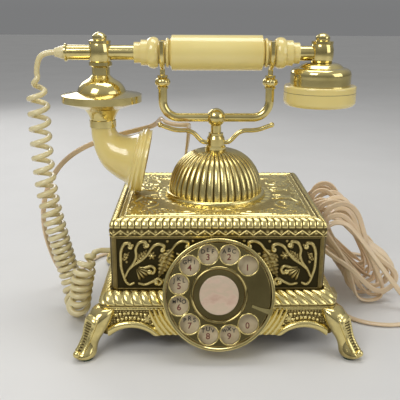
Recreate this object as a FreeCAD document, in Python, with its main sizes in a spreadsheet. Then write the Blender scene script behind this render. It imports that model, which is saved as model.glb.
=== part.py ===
"""A rotary telephone in the French parlour style, as an assembly of separate pieces.

A gilt casket on four bowed legs carries a tilted dial at its front and a ribbed dome on its lid. A plunger
rises through the dome with a yoke and two forks, and the handset with its mouth horn and ear cap lies in
the forks. A curly cord joins the handset to the casket, and a long flat line cord lies beside it.

Sizes are millimetres. +Z is up, the dial faces -Y, and the origin is on the table under the middle of the
whole outline, so the casket's own middle stands a little to the right of it.
"""
import FreeCAD
import Part
import Sketcher

import math
import os

V = FreeCAD.Vector
doc = FreeCAD.newDocument("telephone")

SIZES = {
    # Casket, from the table up
    "pad_height": 1.5,
    "pad_radius": 5,
    "floor_gap": 14,
    "skirt_height": 23,
    "flare_height": 9,
    "flare_reach": 9,
    "flare_mid_height": 5.5,
    "flare_mid_reach": 6.2,
    "frame_lip": 0.5,
    "box_width": 158,
    "box_depth": 140,
    "box_height": 43,
    "box_wall": 2.5,
    "box_corner": 3,
    "panel_border": 4,
    "panel_recess": 1,
    "frame_wall": 3,
    "frame_corner": 6,
    "arch_inner": 50,
    "arch_outer": 80,
    "arch_radius": 23,
    "lid_height": 12,
    "lid_overhang": 0.4,
    "lid_round": 6.5,
    "lid_thickness": 2.5,
    "plate_thickness": 1.5,
    "plate_lift": 6.5,
    "boss_radius": 4.5,
    "boss_height": 22,
    "boss_inset": 8,
    "screw_radius": 1.6,
    "screw_head_radius": 3.4,
    "screw_head_height": 2,
    "screw_length": 12,
    "fit": 0.05,
    "gap": 0.3,
    # Legs
    "leg_reach": 16.5,
    "leg_depth": 8,
    "leg_width": 8,
    # Dome, collar and carrying horns
    "plinth_radius": 41,
    "plinth_height": 4,
    "dome_radius": 36.8,
    "dome_height": 33.5,
    "dome_top_radius": 8.5,
    "dome_bulge": 1.1,
    "dome_ribs": 40,
    "dome_wall": 2,
    "dome_arc": 29,
    "collar_radius": 7.2,
    "collar_height": 11.5,
    "thread_radius": 5.5,
    "nut_radius": 9,
    "nut_height": 5,
    "horn_radius": 1.8,
    "horn_span": 45,
    "horn_rise": 14.2,
    # Cradle
    "spigot_radius": 4,
    "rod_radius": 2,
    "post_height": 14.5,
    "ball_radius": 7.5,
    "neck_radius": 4.2,
    "shoulder_radius": 6,
    "shoulder_height": 1.8,
    "yoke_radius": 3.5,
    "yoke_bend": 13,
    "yoke_rise": 50.5,
    "arm_rise": 23,
    "knob_radius": 4.9,
    "prong_radius": 2,
    "prong_height": 9,
    "cradle_travel": 6,
    "spring_wire": 0.9,
    "spring_turns": 6,
    "spring_seat": 3,
    "spring_length": 15,
    # Hook switch
    "lever_arm": 28,
    "lever_tip": 5,
    "lever_room": 3.5,
    "lever_tail": 8,
    "lever_width": 7,
    "lever_thickness": 2.4,
    "lever_pin_radius": 1.5,
    "cheek_thickness": 1.5,
    "cheek_length": 12,
    # Dial, in its own tilted frame
    "dial_tilt": 17,
    "dial_reach": 87,
    "dial_height": 50,
    "cup_radius": 41,
    "cup_depth": 38,
    "cup_back_radius": 33,
    "cup_rim": 6,
    "cup_wall": 2,
    "ledge_width": 4,
    "bezel_height": 2.5,
    "bezel_proud": 1,
    "bezel_overlap": 2.4,
    "wheel_radius": 38,
    "wheel_thickness": 2.4,
    "hole_circle": 30,
    "hole_radius": 7.1,
    "hole_count": 10,
    "hole_step": 30,
    "hole_first": 45,
    "card_gap": 3.4,
    "card_thickness": 1.2,
    "dial_plate_thickness": 1.4,
    "stop_angle": 18,
    "stop_length": 16,
    "stop_width": 5,
    "stop_thickness": 1.2,
    "dish_radius": 21,
    "dish_rim": 2.6,
    "dish_height": 2.2,
    "dish_floor": 0.5,
    "button_radius": 14.2,
    "button_height": 2.6,
    "shaft_radius": 3,
    "gear_radius": 18,
    "gear_teeth": 36,
    "pinion_teeth": 9,
    "gear_width": 2,
    "gear_drop": 4,
    "cam_radius": 9,
    "cam_drop": 8.5,
    "barrel_radius": 13,
    "barrel_height": 6,
    "bridge_radius": 28,
    "bridge_drop": 20,
    "bridge_thickness": 1.5,
    "pillar_radius": 2,
    "pillar_circle": 24.5,
    "governor_radius": 7,
    "pivot_radius": 1,
    # Ringer and network
    "gong_radius": 20,
    "gong_height": 15,
    "gong_wall": 1.6,
    "gong_gap": 9,
    "gong_lift": 7,
    "gong_rim": 4,
    "gong_arc": 14,
    "gong_post": 2,
    "ringer_plate": 1.5,
    "ringer_back": 40,
    "coil_radius": 9,
    "coil_length": 30,
    "clapper_length": 22,
    "clapper_ball": 2.5,
    "clapper_height": 15,
    "clapper_hub": 4,
    "network_x": 72,
    "network_width": 46,
    "network_depth": 30,
    "network_height": 18,
    # Handset
    "grip_radius": 13.6,
    "grip_length": 70,
    "grip_bevel": 2.2,
    "grip_end_radius": 9,
    "collar_bead_radius": 11.4,
    "collar_bead_width": 2.4,
    "handset_neck_radius": 9,
    "handset_neck_length": 5.8,
    "bead_radius": 12.1,
    "bead_width": 8.2,
    "bead_crown": 1.6,
    "ring_radius": 9.8,
    "ring_width": 5.3,
    "ferrule_radius": 8.1,
    "tube_radius": 5.75,
    "tube_tail": 27.2,
    "tube_rim": 1.1,
    "tee_radius": 9.1,
    "tee_height": 14,
    "tee_bulge": 1.1,
    "mouth_reach": 48.3,
    "ear_reach": 39.7,
    "finial_radius": 8.5,
    "finial_height": 8.5,
    "bell_neck_radius": 7,
    "bell_neck_length": 10,
    "bell_turn_radius": 12.5,
    "bell_turn_drop": 4.3,
    "bell_flare": 18,
    "bell_foot_radius": 19.3,
    "bell_foot_rise": 5,
    "bell_crown": 13.7,
    "bell_radius": 31.5,
    "bell_drop": 28,
    "bell_rim": 2.7,
    "bell_wall": 1.6,
    "cone_height": 23,
    "cone_waist_radius": 14.8,
    "cone_shoulder": 8.4,
    "cone_round": 17,
    "cone_ring": 5.5,
    "cone_end_radius": 10.6,
    "capsule_radius": 19,
    "capsule_height": 4.4,
    "horn_bore_wall": 2,
    "elbow_radius": 26,
    "elbow_turn": 78,
    "elbow_start_radius": 9.7,
    "mouth_radius": 26,
    "mouth_length": 15,
    "cup_top_radius": 23.8,
    "ear_crown_radius": 11.5,
    "ear_crown_drop": 3,
    "ear_cup_height": 22.5,
    "ear_cup_round": 3,
    "ear_cap_radius": 28.5,
    "ear_cap_height": 16,
    "ear_cap_lap": 5,
    "ear_cap_wall": 3,
    "ear_hole_radius": 1.5,
    "ear_hole_circle": 7,
    "ear_hole_count": 6,
    "boot_length": 8,
    "boot_radius": 5.2,
    # Cords
    "curly_wire": 4.4,
    "curly_radius": 7,
    "line_wire": 3.4,
    "hank_turns": 15,
    "hank_pitch": 5.4,
    "hank_length": 48,
    "hank_waist": 11,
    "plug_length": 14,
    "plug_width": 9,
    "plug_height": 7,
    "grommet_radius": 5.5,
    "grommet_flange": 2,
    "grommet_lip": 1.5,
    "line_exit_x": -18,
    "line_exit_z": 28,
    "curly_exit_y": -30,
    "curly_exit_z": 62,
    "curly_lead": 24,
    "curly_tail": 14,
    "curly_ramp": 22,
    "hank_x": 122.5,
    "hank_y": 73,
    "hank_z": 45.4,
    "hank_lean": 50,
}

sheet = doc.addObject("Spreadsheet::Sheet", "dims")
for row, (alias, number) in enumerate(SIZES.items(), start=1):
    sheet.set("A%d" % row, alias)
    sheet.set("B%d" % row, str(number))
    sheet.setAlias("B%d" % row, alias)
doc.recompute()


class Size:
    """A driving dimension, or a formula of some: its number now, and its text as the sheet reads it."""

    def __init__(self, value, text):
        self.value = float(value)
        self.text = text

    def __float__(self):
        return self.value

    def __add__(self, other):
        other = size(other)
        return Size(self.value + other.value, "(%s + %s)" % (self.text, other.text))

    def __sub__(self, other):
        other = size(other)
        return Size(self.value - other.value, "(%s - %s)" % (self.text, other.text))

    def __mul__(self, other):
        other = size(other)
        return Size(self.value * other.value, "(%s * %s)" % (self.text, other.text))

    def __truediv__(self, other):
        other = size(other)
        return Size(self.value / other.value, "(%s / %s)" % (self.text, other.text))

    def __neg__(self):
        return Size(-self.value, "(0 - %s)" % self.text)

    __radd__ = __add__

    def __rsub__(self, other):
        return size(other) - self

    __rmul__ = __mul__


def size(x):
    return x if isinstance(x, Size) else Size(x, repr(float(x)))


def cosine(angle):
    angle = size(angle)
    return Size(math.cos(math.radians(angle.value)), "cos(%s * 1 deg)" % angle.text)


def sine(angle):
    angle = size(angle)
    return Size(math.sin(math.radians(angle.value)), "sin(%s * 1 deg)" % angle.text)


class Dimensions:
    """The sheet's cells by name."""

    def __getattr__(self, name):
        return Size(float(getattr(sheet, name)), "dims." + name)


d = Dimensions()

# The casket's middle plane: the horn side of the handset reaches further than the ear side.
mid = (d.mouth_reach + d.bell_radius - d.ear_reach - d.ear_cap_radius) / 2

# Heights, from the table up
z_flare = d.floor_gap + d.skirt_height
z_box = z_flare + d.flare_height
z_lid = z_box + d.box_height
z_top = z_lid + d.lid_height
z_dome = z_top + d.plinth_height
z_collar = z_dome + d.dome_height
z_guide = z_collar + d.collar_height
z_ball = z_guide + d.post_height
z_hand = z_ball + d.yoke_rise
half_x = d.box_width / 2
half_y = d.box_depth / 2

nodes = []


def node(obj, label):
    """Give a finished object the name of its node."""
    obj.Label = label
    nodes.append(obj)
    return obj


def place(obj, at=(0, 0, 0), axis=None, angle=0):
    """Put an object at a point measured from the casket's middle, turned about one axis."""
    spot = [mid + at[0], size(at[1]), size(at[2])]
    turn = FreeCAD.Rotation(axis or V(0, 0, 1), float(angle))
    obj.Placement = FreeCAD.Placement(V(*[c.value for c in spot]), turn)
    for letter, coordinate in zip("xyz", spot):
        obj.setExpression(".Placement.Base.%s" % letter, coordinate.text)
    if isinstance(angle, Size):
        obj.setExpression(".Placement.Rotation.Angle", angle.text)


def new_body(name, at=(0, 0, 0), axis=None, angle=0):
    body = doc.addObject("PartDesign::Body", name)
    place(body, at, axis, angle)
    return body


def new_sketch(body, role, lift=0, spin=0):
    """A sketch on one of the body's own planes, lifted along its normal and spun about it."""
    plane = [f for f in body.Origin.OriginFeatures if f.Role == role][0]
    sk = body.newObject("Sketcher::SketchObject", "sketch")
    sk.AttachmentSupport = [(plane, "")]
    sk.MapMode = "FlatFace"
    lift, spin = size(lift), size(spin)
    sk.AttachmentOffset = FreeCAD.Placement(V(0, 0, lift.value), FreeCAD.Rotation(V(0, 0, 1), spin.value))
    sk.setExpression("AttachmentOffset.Base.z", lift.text)
    if spin.value:
        sk.setExpression("AttachmentOffset.Rotation.Angle", spin.text)
    return sk


def fix(sk, kind, *args):
    """One dimension of a sketch, bound to its formula."""
    value = size(args[-1])
    index = sk.addConstraint(Sketcher.Constraint(kind, *args[:-1], value.value))
    sk.setExpression("Constraints[%d]" % index, value.text)


def fix_point(sk, edge, end, x, y):
    for kind, line, value in (("DistanceX", -2, x), ("DistanceY", -1, y)):
        if size(value).value == 0:
            sk.addConstraint(Sketcher.Constraint("PointOnObject", edge, end, line))
        else:
            fix(sk, kind, edge, end, value)


def arc_between(p, q, bend):
    """The minor arc from p to q with its centre on the left where bend is positive."""
    chord = q - p
    radius = abs(bend)
    rise = math.sqrt(max(radius ** 2 - (chord.Length / 2) ** 2, 0))
    left = V(-chord.y, chord.x, 0).normalize()
    centre = (p + q) / 2 + left * math.copysign(rise, bend)
    first, last = (p, q) if bend > 0 else (q, p)
    angles = [math.atan2(e.y - centre.y, e.x - centre.x) for e in (first, last)]
    return Part.ArcOfCircle(Part.Circle(centre, V(0, 0, 1), radius), *angles)


def draw(sk, points, closed=True):
    """Lines and arcs through points (x, y) or (x, y, bend): bend is the signed radius of the arc arriving."""
    spots = [V(float(p[0]), float(p[1]), 0) for p in points]
    count = len(points)
    steps = range(1, count + 1) if closed else range(1, count)
    edges = []
    for i in steps:
        start, end = spots[i - 1], spots[i % count]
        bend = size(points[i % count][2]) if len(points[i % count]) > 2 else None
        if bend is None:
            edges.append((sk.addGeometry(Part.LineSegment(start, end)), 1, 2))
            continue
        order = (1, 2) if bend.value > 0 else (2, 1)
        edges.append((sk.addGeometry(arc_between(start, end, bend.value)), *order))
        fix(sk, "Radius", edges[-1][0], bend if bend.value > 0 else -bend)
    for i, (edge, first, last) in enumerate(edges):
        fix_point(sk, edge, first, *points[i][:2])
        if i + 1 < len(edges) or closed:
            following, entry = edges[(i + 1) % len(edges)][:2]
            sk.addConstraint(Sketcher.Constraint("Coincident", edge, last, following, entry))
        else:
            fix_point(sk, edge, last, *points[-1][:2])
    return sk


def circle(sk, x, y, radius):
    edge = sk.addGeometry(Part.Circle(V(float(x), float(y), 0), V(0, 0, 1), float(radius)))
    fix_point(sk, edge, 3, x, y)
    fix(sk, "Radius", edge, radius)
    return sk


def feature(body, kind, sk, **settings):
    """A feature on a sketch; a setting that is a Size is bound to its formula."""
    made = body.newObject("PartDesign::" + kind, kind.lower())
    made.Profile = sk
    for name, value in settings.items():
        setattr(made, name, value.value if isinstance(value, Size) else value)
        if isinstance(value, Size):
            made.setExpression(name, value.text)
    return made


def revolve(body, sk):
    return feature(body, "Revolution", sk, ReferenceAxis=(sk, ["V_Axis"]), Angle=360)


def drill(body, role, spots, lift=0, spin=0):
    """Round holes right through the body, each (x, y, radius) on a plane of its own."""
    sk = new_sketch(body, role, lift, spin)
    for spot in spots:
        circle(sk, *spot)
    return feature(body, "Pocket", sk, Type="ThroughAll", SideType="Symmetric")


def ring_pattern(body, original, sk, count, angle):
    made = body.newObject("PartDesign::PolarPattern", "ring")
    made.Originals = [original]
    made.Axis = (sk, ["N_Axis"])
    for name, value in (("Occurrences", count), ("Angle", angle)):
        setattr(made, name, int(value.value) if name == "Occurrences" else float(value))
        if isinstance(value, Size):
            made.setExpression(name, value.text)
    body.Tip = made
    return made


def lathe(name, outline, at=(0, 0, 0), axis=None, angle=0):
    """A turned piece: an outline of (radius, height) about its own Z."""
    body = new_body(name, at, axis, angle)
    revolve(body, draw(new_sketch(body, "XZ_Plane"), outline))
    return body


def box(name, low, extent):
    made = doc.addObject("Part::Box", name)
    place(made, low)
    for prop, value in zip(("Length", "Width", "Height"), extent):
        made.setExpression(prop, size(value).text)
    return made


def rod(name, at, radius, length, axis=None, angle=0):
    made = doc.addObject("Part::Cylinder", name)
    place(made, at, axis, angle)
    made.setExpression("Radius", size(radius).text)
    made.setExpression("Height", size(length).text)
    return made


def cut(base, *tools):
    for tool in tools:
        made = doc.addObject("Part::Cut", "cut")
        made.Base, made.Tool = base, tool
        base = made
    return base


def fuse(*pieces):
    made = doc.addObject("Part::MultiFuse", "fuse")
    made.Shapes = list(pieces)
    return made


def group(*pieces):
    made = doc.addObject("Part::Compound", "group")
    made.Links = list(pieces)
    return made


def formed(name, shape):
    """A form worked out in the casket's middle frame."""
    made = doc.addObject("Part::Feature", name)
    made.Shape = shape
    made.Placement = FreeCAD.Placement(V(mid.value, 0, 0), FreeCAD.Rotation())
    return made


def draw_rounded(sk, half_w, half_d, corner):
    """A rectangle about the middle, with round corners."""
    return draw(sk, [
        (half_w, corner - half_d, corner),
        (half_w, half_d - corner),
        (half_w - corner, half_d, corner),
        (corner - half_w, half_d),
        (-half_w, half_d - corner, corner),
        (-half_w, corner - half_d),
        (corner - half_w, -half_d, corner),
        (half_w - corner, -half_d),
    ])


def crown(chord, rise):
    """The radius of an arc over a chord."""
    return (chord * chord / 4 + rise * rise) / (2 * rise)


# Paths for bent rods and cords


def rounded_path(points, share=0.45):
    """Straight runs joined by arcs as large as the shorter run beside each point allows, with the radii."""
    corners = [V(*p) for p in points]
    edges, radii = [], []
    start = corners[0]
    for before, here, after in zip(corners, corners[1:], corners[2:]):
        back, ahead = before - here, after - here
        reach = share * min(back.Length, ahead.Length)
        turn = math.pi - back.getAngle(ahead)
        radii.append(reach / math.tan(turn / 2))
        back.normalize()
        ahead.normalize()
        enter, leave = here + back * reach, here + ahead * reach
        inward = (back + ahead).normalize()
        middle = here + inward * (radii[-1] / math.cos(turn / 2) - radii[-1])
        edges.append(Part.LineSegment(start, enter).toShape())
        edges.append(Part.Arc(enter, middle, leave).toShape())
        start = leave
    edges.append(Part.LineSegment(start, corners[-1]).toShape())
    return edges, radii


def tube_along(edges, radius):
    """A round bar whose middle follows the edges."""
    path = Part.Wire(edges)
    start = edges[0].valueAt(edges[0].FirstParameter)
    heading = edges[0].tangentAt(edges[0].FirstParameter)
    section = Part.Wire([Part.makeCircle(radius, start, heading)])
    return path.makePipeShell([section], True, False)


def arc_from(p, heading, q):
    """The arc that leaves p along its heading and ends at q, or a line where q lies straight ahead."""
    chord = q - p
    side = chord - heading * chord.dot(heading)
    if side.Length < 1e-4 * chord.Length:
        return Part.LineSegment(p, q).toShape()
    turn = 2 * chord.getAngle(heading)
    radius = chord.Length / (2 * math.sin(turn / 2))
    side.normalize()
    middle = p + heading * (radius * math.sin(turn / 2)) + side * (radius * (1 - math.cos(turn / 2)))
    return Part.Arc(p, middle, q).toShape()


def biarcs(points, headings):
    """Two tangent arcs between each point and the next, so that the path keeps its heading at every point."""
    edges = []
    for p, t, q, u in zip(points, headings, points[1:], headings[1:]):
        gap, both = q - p, t + u
        a = 2 * (t.dot(u) - 1)
        b = -2 * gap.dot(both)
        c = gap.dot(gap)
        reach = c / -b if abs(a) < 1e-9 else (-b - math.sqrt(b * b - 4 * a * c)) / (2 * a)
        joint = (p + t * reach + q - u * reach) / 2
        edges.append(arc_from(p, t, joint))
        heading = (q - u * reach - joint).normalize()
        edges.append(arc_from(joint, heading, q))
    return edges


def check_gap(label, points, wire, skip):
    """Print the least gap between stretches of a wound tube that are not next to each other on its path."""
    cells = {}
    for i, p in enumerate(points):
        cells.setdefault((int(p.x // 12), int(p.y // 12), int(p.z // 12)), []).append(i)
    least = 1e9
    for (a, b, c), members in cells.items():
        near = [i for x in (-1, 0, 1) for y in (-1, 0, 1) for z in (-1, 0, 1)
                for i in cells.get((a + x, b + y, c + z), [])]
        for i in members:
            for j in near:
                if j - i > skip:
                    least = min(least, points[i].distanceToPoint(points[j]))
    print("%s: least gap to itself %.2f mm" % (label, least - wire))


def check_volume(label, shape, edges, radius):
    expected = math.pi * radius ** 2 * sum(e.Length for e in edges)
    print("%s: length %.0f mm, volume %.4f of section times length" % (
        label, sum(e.Length for e in edges), shape.Volume / expected))


def fine_points(edges, step):
    """Points along edges that follow one another, each edge read from where the last one ended."""
    points = []
    for edge in edges:
        count = max(2, int(edge.Length / step) + 1)
        run = edge.discretize(count)
        if points and run[-1].distanceToPoint(points[-1]) < run[0].distanceToPoint(points[-1]):
            run.reverse()
        points += run[1:] if points else run
    return points


# Base frame: a skirt with arches under a flared band, on which the casket stands


def frame_walls(name, inset, low, high):
    """The flared outline from the skirt's foot up to the casket, moved inwards by an inset."""
    body = new_body(name)
    levels = [
        (low, d.flare_reach),
        (z_flare, d.flare_reach),
        (z_flare + d.flare_mid_height, d.flare_mid_reach),
        (high, d.frame_lip),
    ]
    sections = []
    for height, reach in levels:
        sk = new_sketch(body, "XY_Plane", height)
        sections.append(draw_rounded(sk, half_x + reach - inset, half_y + reach - inset, d.frame_corner))
    feature(body, "AdditiveLoft", sections[0], Sections=sections[1:], Ruled=True)
    return body


def arches(name, role, inner, outer, length):
    """A pair of shallow arches, cut right through from side to side."""
    body = new_body(name)
    sk = new_sketch(body, role)
    draw(sk, [(inner, d.floor_gap, d.arch_radius), (outer, d.floor_gap)])
    draw(sk, [(-outer, d.floor_gap, d.arch_radius), (-inner, d.floor_gap)])
    feature(body, "Pad", sk, Length=length, SideType="Symmetric")
    return body


frame_x = half_x + d.flare_reach
frame_y = half_y + d.flare_reach
boss_x = frame_x - d.frame_wall - d.boss_inset
boss_y = frame_y - d.frame_wall - d.boss_inset
z_plate = d.floor_gap + d.plate_lift
z_floor = z_plate + d.plate_thickness
CORNERS = [(1, -1, "front_right"), (-1, -1, "front_left"), (1, 1, "rear_right"), (-1, 1, "rear_left")]

# The dial's own frame: its Z looks out of the dial, its Y up the face.
DIAL = {"at": (0, -d.dial_reach, d.dial_height), "axis": V(1, 0, 0), "angle": 90 - d.dial_tilt}


def on_dial(x, y, out):
    """A point of the dial's own frame, measured from the casket's middle."""
    back = y * sine(d.dial_tilt) - out * cosine(d.dial_tilt)
    up = y * cosine(d.dial_tilt) + out * sine(d.dial_tilt)
    return (x, back - d.dial_reach, up + d.dial_height)


dial_room = lathe("dial_room", [
    (0, d.cup_rim),
    (d.cup_radius + d.fit, d.cup_rim),
    (d.cup_radius + d.fit, -d.cup_rim),
    (d.cup_back_radius + d.fit, -d.cup_depth),
    (d.cup_back_radius + d.fit, -d.cup_depth - d.fit),
    (0, -d.cup_depth - d.fit),
], **DIAL)

line_exit = (d.line_exit_x, frame_y, d.line_exit_z)
curly_exit = (-half_x, d.curly_exit_y, d.curly_exit_z)
bush_radius = d.grommet_radius - d.grommet_lip
line_hole = rod("line_hole", (d.line_exit_x, frame_y - d.frame_wall - d.gap, d.line_exit_z),
                bush_radius, d.frame_wall + 2 * d.gap, V(1, 0, 0), -90)
curly_hole = rod("curly_hole", (-half_x - d.gap, d.curly_exit_y, d.curly_exit_z),
                 bush_radius, d.box_wall + 2 * d.gap, V(0, 1, 0), 90)

frame_block = frame_walls("frame_block", size(0), d.floor_gap, z_box)
frame_void = frame_walls("frame_void", d.frame_wall, d.floor_gap - d.gap, z_box + d.gap)
side_step = half_x - half_y
arch_tools = [
    arches("arches_front", "XZ_Plane", d.arch_inner, d.arch_outer, 3 * frame_y),
    arches("arches_side", "YZ_Plane", d.arch_inner - side_step, d.arch_outer - side_step, 3 * frame_x),
]
bosses = [rod("boss", (sx * boss_x, sy * boss_y, z_floor), d.boss_radius, d.boss_height)
          for sx, sy, _ in CORNERS]
pilots = [rod("pilot", (sx * boss_x, sy * boss_y, z_floor - d.gap), d.screw_radius, d.screw_length)
          for sx, sy, _ in CORNERS]
frame_shell = cut(frame_block, frame_void)
node(cut(fuse(frame_shell, *bosses), *arch_tools, *pilots, dial_room, line_hole), "base_frame")

plate_body = new_body("plate")
plate_sketch = new_sketch(plate_body, "XY_Plane", z_plate)
draw_rounded(plate_sketch, frame_x - d.frame_wall - d.gap, frame_y - d.frame_wall - d.gap, d.frame_corner)
feature(plate_body, "Pad", plate_sketch, Length=d.plate_thickness)
screw_holes = [(sx * boss_x, sy * boss_y, d.screw_radius + d.gap) for sx, sy, _ in CORNERS]
drill(plate_body, "XY_Plane", screw_holes, z_plate)
node(cut(plate_body, dial_room), "base_plate")

screws = [lathe("screw", [
    (0, -d.screw_head_height),
    (d.screw_head_radius, -d.screw_head_height),
    (d.screw_head_radius, 0),
    (d.screw_radius, 0),
    (d.screw_radius, d.screw_length - 1),
    (0, d.screw_length),
], (sx * boss_x, sy * boss_y, z_plate)) for sx, sy, _ in CORNERS]
node(group(*screws), "base_screws")

# Casket shell with sunk panels, and the lid with its round edge

shell = new_body("shell")
shell_sketch = new_sketch(shell, "XY_Plane", z_box)
draw_rounded(shell_sketch, half_x, half_y, d.box_corner)
draw_rounded(shell_sketch, half_x - d.box_wall, half_y - d.box_wall, d.box_corner)
feature(shell, "Pad", shell_sketch, Length=d.box_height)
panel_low = z_box + d.panel_border
panel_rise = d.box_height - 2 * d.panel_border
front_panel = (d.box_width - 2 * d.panel_border, 2 * d.panel_recess, panel_rise)
side_panel = (2 * d.panel_recess, d.box_depth - 2 * d.panel_border, panel_rise)
panels = [
    box("panel", (d.panel_border - half_x, -half_y - d.panel_recess, panel_low), front_panel),
    box("panel", (d.panel_border - half_x, half_y - d.panel_recess, panel_low), front_panel),
    box("panel", (-half_x - d.panel_recess, d.panel_border - half_y, panel_low), side_panel),
    box("panel", (half_x - d.panel_recess, d.panel_border - half_y, panel_low), side_panel),
]
node(cut(shell, *panels, dial_room, curly_hole), "casket_shell")

lid = new_body("lid_body")
lid_sketch = new_sketch(lid, "XY_Plane", z_lid)
draw_rounded(lid_sketch, half_x + d.lid_overhang, half_y + d.lid_overhang, d.box_corner)
lid_pad = feature(lid, "Pad", lid_sketch, Length=d.lid_height)
doc.recompute()
rim = ["Edge%d" % (i + 1) for i, e in enumerate(lid_pad.Shape.Edges)
       if all(abs(v.Z - z_top.value) < 1e-6 for v in e.Vertexes)]
edge_round = lid.newObject("PartDesign::Fillet", "edge_round")
edge_round.Base = (lid_pad, rim)
edge_round.Radius = d.lid_round.value
edge_round.setExpression("Radius", d.lid_round.text)
cavity = new_sketch(lid, "XY_Plane", z_lid)
lid_inset = d.box_wall + d.lid_round
draw_rounded(cavity, half_x - lid_inset, half_y - lid_inset, d.box_corner)
feature(lid, "Pocket", cavity, Length=d.lid_height - d.lid_thickness, Reversed=True)
drill(lid, "XY_Plane", [(0, 0, d.thread_radius + d.fit)], z_lid)
node(lid, "lid")

# Legs: bowed outwards at the knee, drawn in at the ankle, with a round toe.
# Each section: share of the leg's height, of its reach, and of its half depth and half width.
LEG_SECTIONS = [
    (0.98, -0.40, 0.75, 0.70),
    (0.84, 0.00, 1.22, 1.15),
    (0.64, 0.25, 1.12, 1.06),
    (0.41, 0.55, 0.88, 0.82),
    (0.21, 0.84, 0.90, 0.80),
    (0.09, 1.00, 1.08, 0.94),
    (0.00, 1.00, 0.85, 0.72),
]
corner_x = frame_x - d.frame_corner + d.frame_corner * cosine(45)
corner_y = frame_y - d.frame_corner + d.frame_corner * cosine(45)


def leg_form():
    """A loft through level ovals, with its own X pointing out of the corner."""
    height = (z_flare - d.pad_height).value
    ovals = []
    for rise, reach, depth, width in LEG_SECTIONS:
        middle = V(reach * d.leg_reach.value, 0, d.pad_height.value + rise * height)
        tip = middle + V(depth * d.leg_depth.value, 0, 0)
        flank = middle + V(0, width * d.leg_width.value, 0)
        ovals.append(Part.Wire([Part.Ellipse(tip, flank, middle).toShape()]))
    return Part.makeLoft(ovals, True, False)


doc.recompute()
block_shape = frame_block.Shape.copy()
block_shape.translate(V(-mid.value, 0, 0))
foot_out = d.leg_reach * cosine(45)
pads = []
for sx, sy, corner in CORNERS:
    leg = leg_form()
    leg.rotate(V(), V(0, 0, 1), math.degrees(math.atan2(sy, sx)))
    leg.translate(V(sx * corner_x.value, sy * corner_y.value, 0))
    node(formed("leg", leg.cut(block_shape)), "leg_" + corner)
    foot = (sx * (corner_x + foot_out), sy * (corner_y + foot_out), 0)
    pads.append(rod("pad", foot, d.pad_radius, d.pad_height))
node(group(*pads), "foot_pads")

# Ribbed dome on its plinth, with the collar that guides the plunger

DOME_LEVELS = 6


def ribbed_dome():
    """Rings of arcs that shrink up the dome; the ribs fade out at the top."""
    count = int(d.dome_ribs.value)
    radius, top = d.dome_radius.value, d.dome_top_radius.value
    rings = []
    for level in range(DOME_LEVELS + 1):
        slope = math.pi / 2 * level / DOME_LEVELS
        ring = top + (radius - top) * math.cos(slope)
        height = z_dome.value + d.dome_height.value * math.sin(slope)
        bulge = d.dome_bulge.value * ring / radius

        def spot(reach, k):
            turn = 2 * math.pi * k / count
            return V(reach * math.cos(turn), reach * math.sin(turn), height)

        rings.append(Part.Wire([
            Part.Arc(spot(ring, k), spot(ring + bulge, k + 0.5), spot(ring, (k + 1) % count)).toShape()
            for k in range(count)]))
    return Part.makeLoft(rings, True, True)


dome_ribs = formed("dome_ribs", ribbed_dome())
plinth = lathe("plinth", [
    (0, z_top),
    (d.plinth_radius, z_top),
    (d.plinth_radius, z_top + d.plinth_height / 2),
    (d.plinth_radius - d.plinth_height / 2, z_dome, d.plinth_height / 2),
    (0, z_dome),
])
dome_inner = d.dome_radius - d.dome_wall
dome_void = lathe("dome_void", [
    (0, z_top),
    (dome_inner, z_top),
    (dome_inner, z_dome),
    (d.dome_top_radius, z_collar - d.dome_wall, d.dome_arc),
    (0, z_collar - d.dome_wall),
])
collar_hole = rod("collar_hole", (0, 0, z_top), d.thread_radius + d.fit, z_collar - z_top + d.gap)
node(cut(fuse(plinth, dome_ribs), dome_void, collar_hole), "dome")

z_seat = z_top - d.lid_thickness - d.nut_height - d.gap
node(lathe("collar_body", [
    (d.rod_radius + d.gap, z_seat),
    (d.thread_radius, z_seat),
    (d.thread_radius, z_collar),
    (d.dome_top_radius, z_collar),
    (d.dome_top_radius, z_collar + d.collar_height / 5),
    (d.collar_radius, z_collar + d.collar_height / 3),
    (d.collar_radius, z_guide - d.collar_height / 5),
    (d.shoulder_radius, z_guide),
    (d.spigot_radius + d.fit, z_guide),
    (d.spigot_radius + d.fit, z_seat + d.spring_seat),
    (d.rod_radius + d.gap, z_seat + d.spring_seat),
]), "collar")

nut = new_body("nut_body")
nut_sketch = new_sketch(nut, "XY_Plane", z_top - d.lid_thickness - d.nut_height)
draw(nut_sketch, [(d.nut_radius * cosine(60 * k), d.nut_radius * sine(60 * k)) if k % 3 else
                  (d.nut_radius if k == 0 else -d.nut_radius, 0) for k in range(6)])
circle(nut_sketch, 0, 0, d.thread_radius)
feature(nut, "Pad", nut_sketch, Length=d.nut_height)
node(nut, "collar_nut")


def horn_form(side):
    """A carrying horn: out of the collar, up, level, and a last lift to its round tip."""
    rise, span = d.horn_rise.value, d.horn_span.value
    root = z_collar.value + d.collar_height.value / 2
    stops = [(0.1, 0), (0.24, 0), (0.44, 0.70), (0.72, 0.67), (1.0, 1.0)]
    edges = rounded_path([(side * span * out, 0, root + rise * up) for out, up in stops])[0]
    bar = tube_along(edges, d.horn_radius.value)
    tip = Part.makeSphere(d.horn_radius.value * 1.2, V(side * span, 0, root + rise))
    core = Part.makeCylinder(d.collar_radius.value, d.collar_height.value, V(0, 0, z_collar.value))
    return bar.fuse(tip).cut(core)


for side, name in ((-1, "horn_left"), (1, "horn_right")):
    node(formed("horn", horn_form(side)), name)

# Cradle: ball post on its plunger, yoke and two forks

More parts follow.
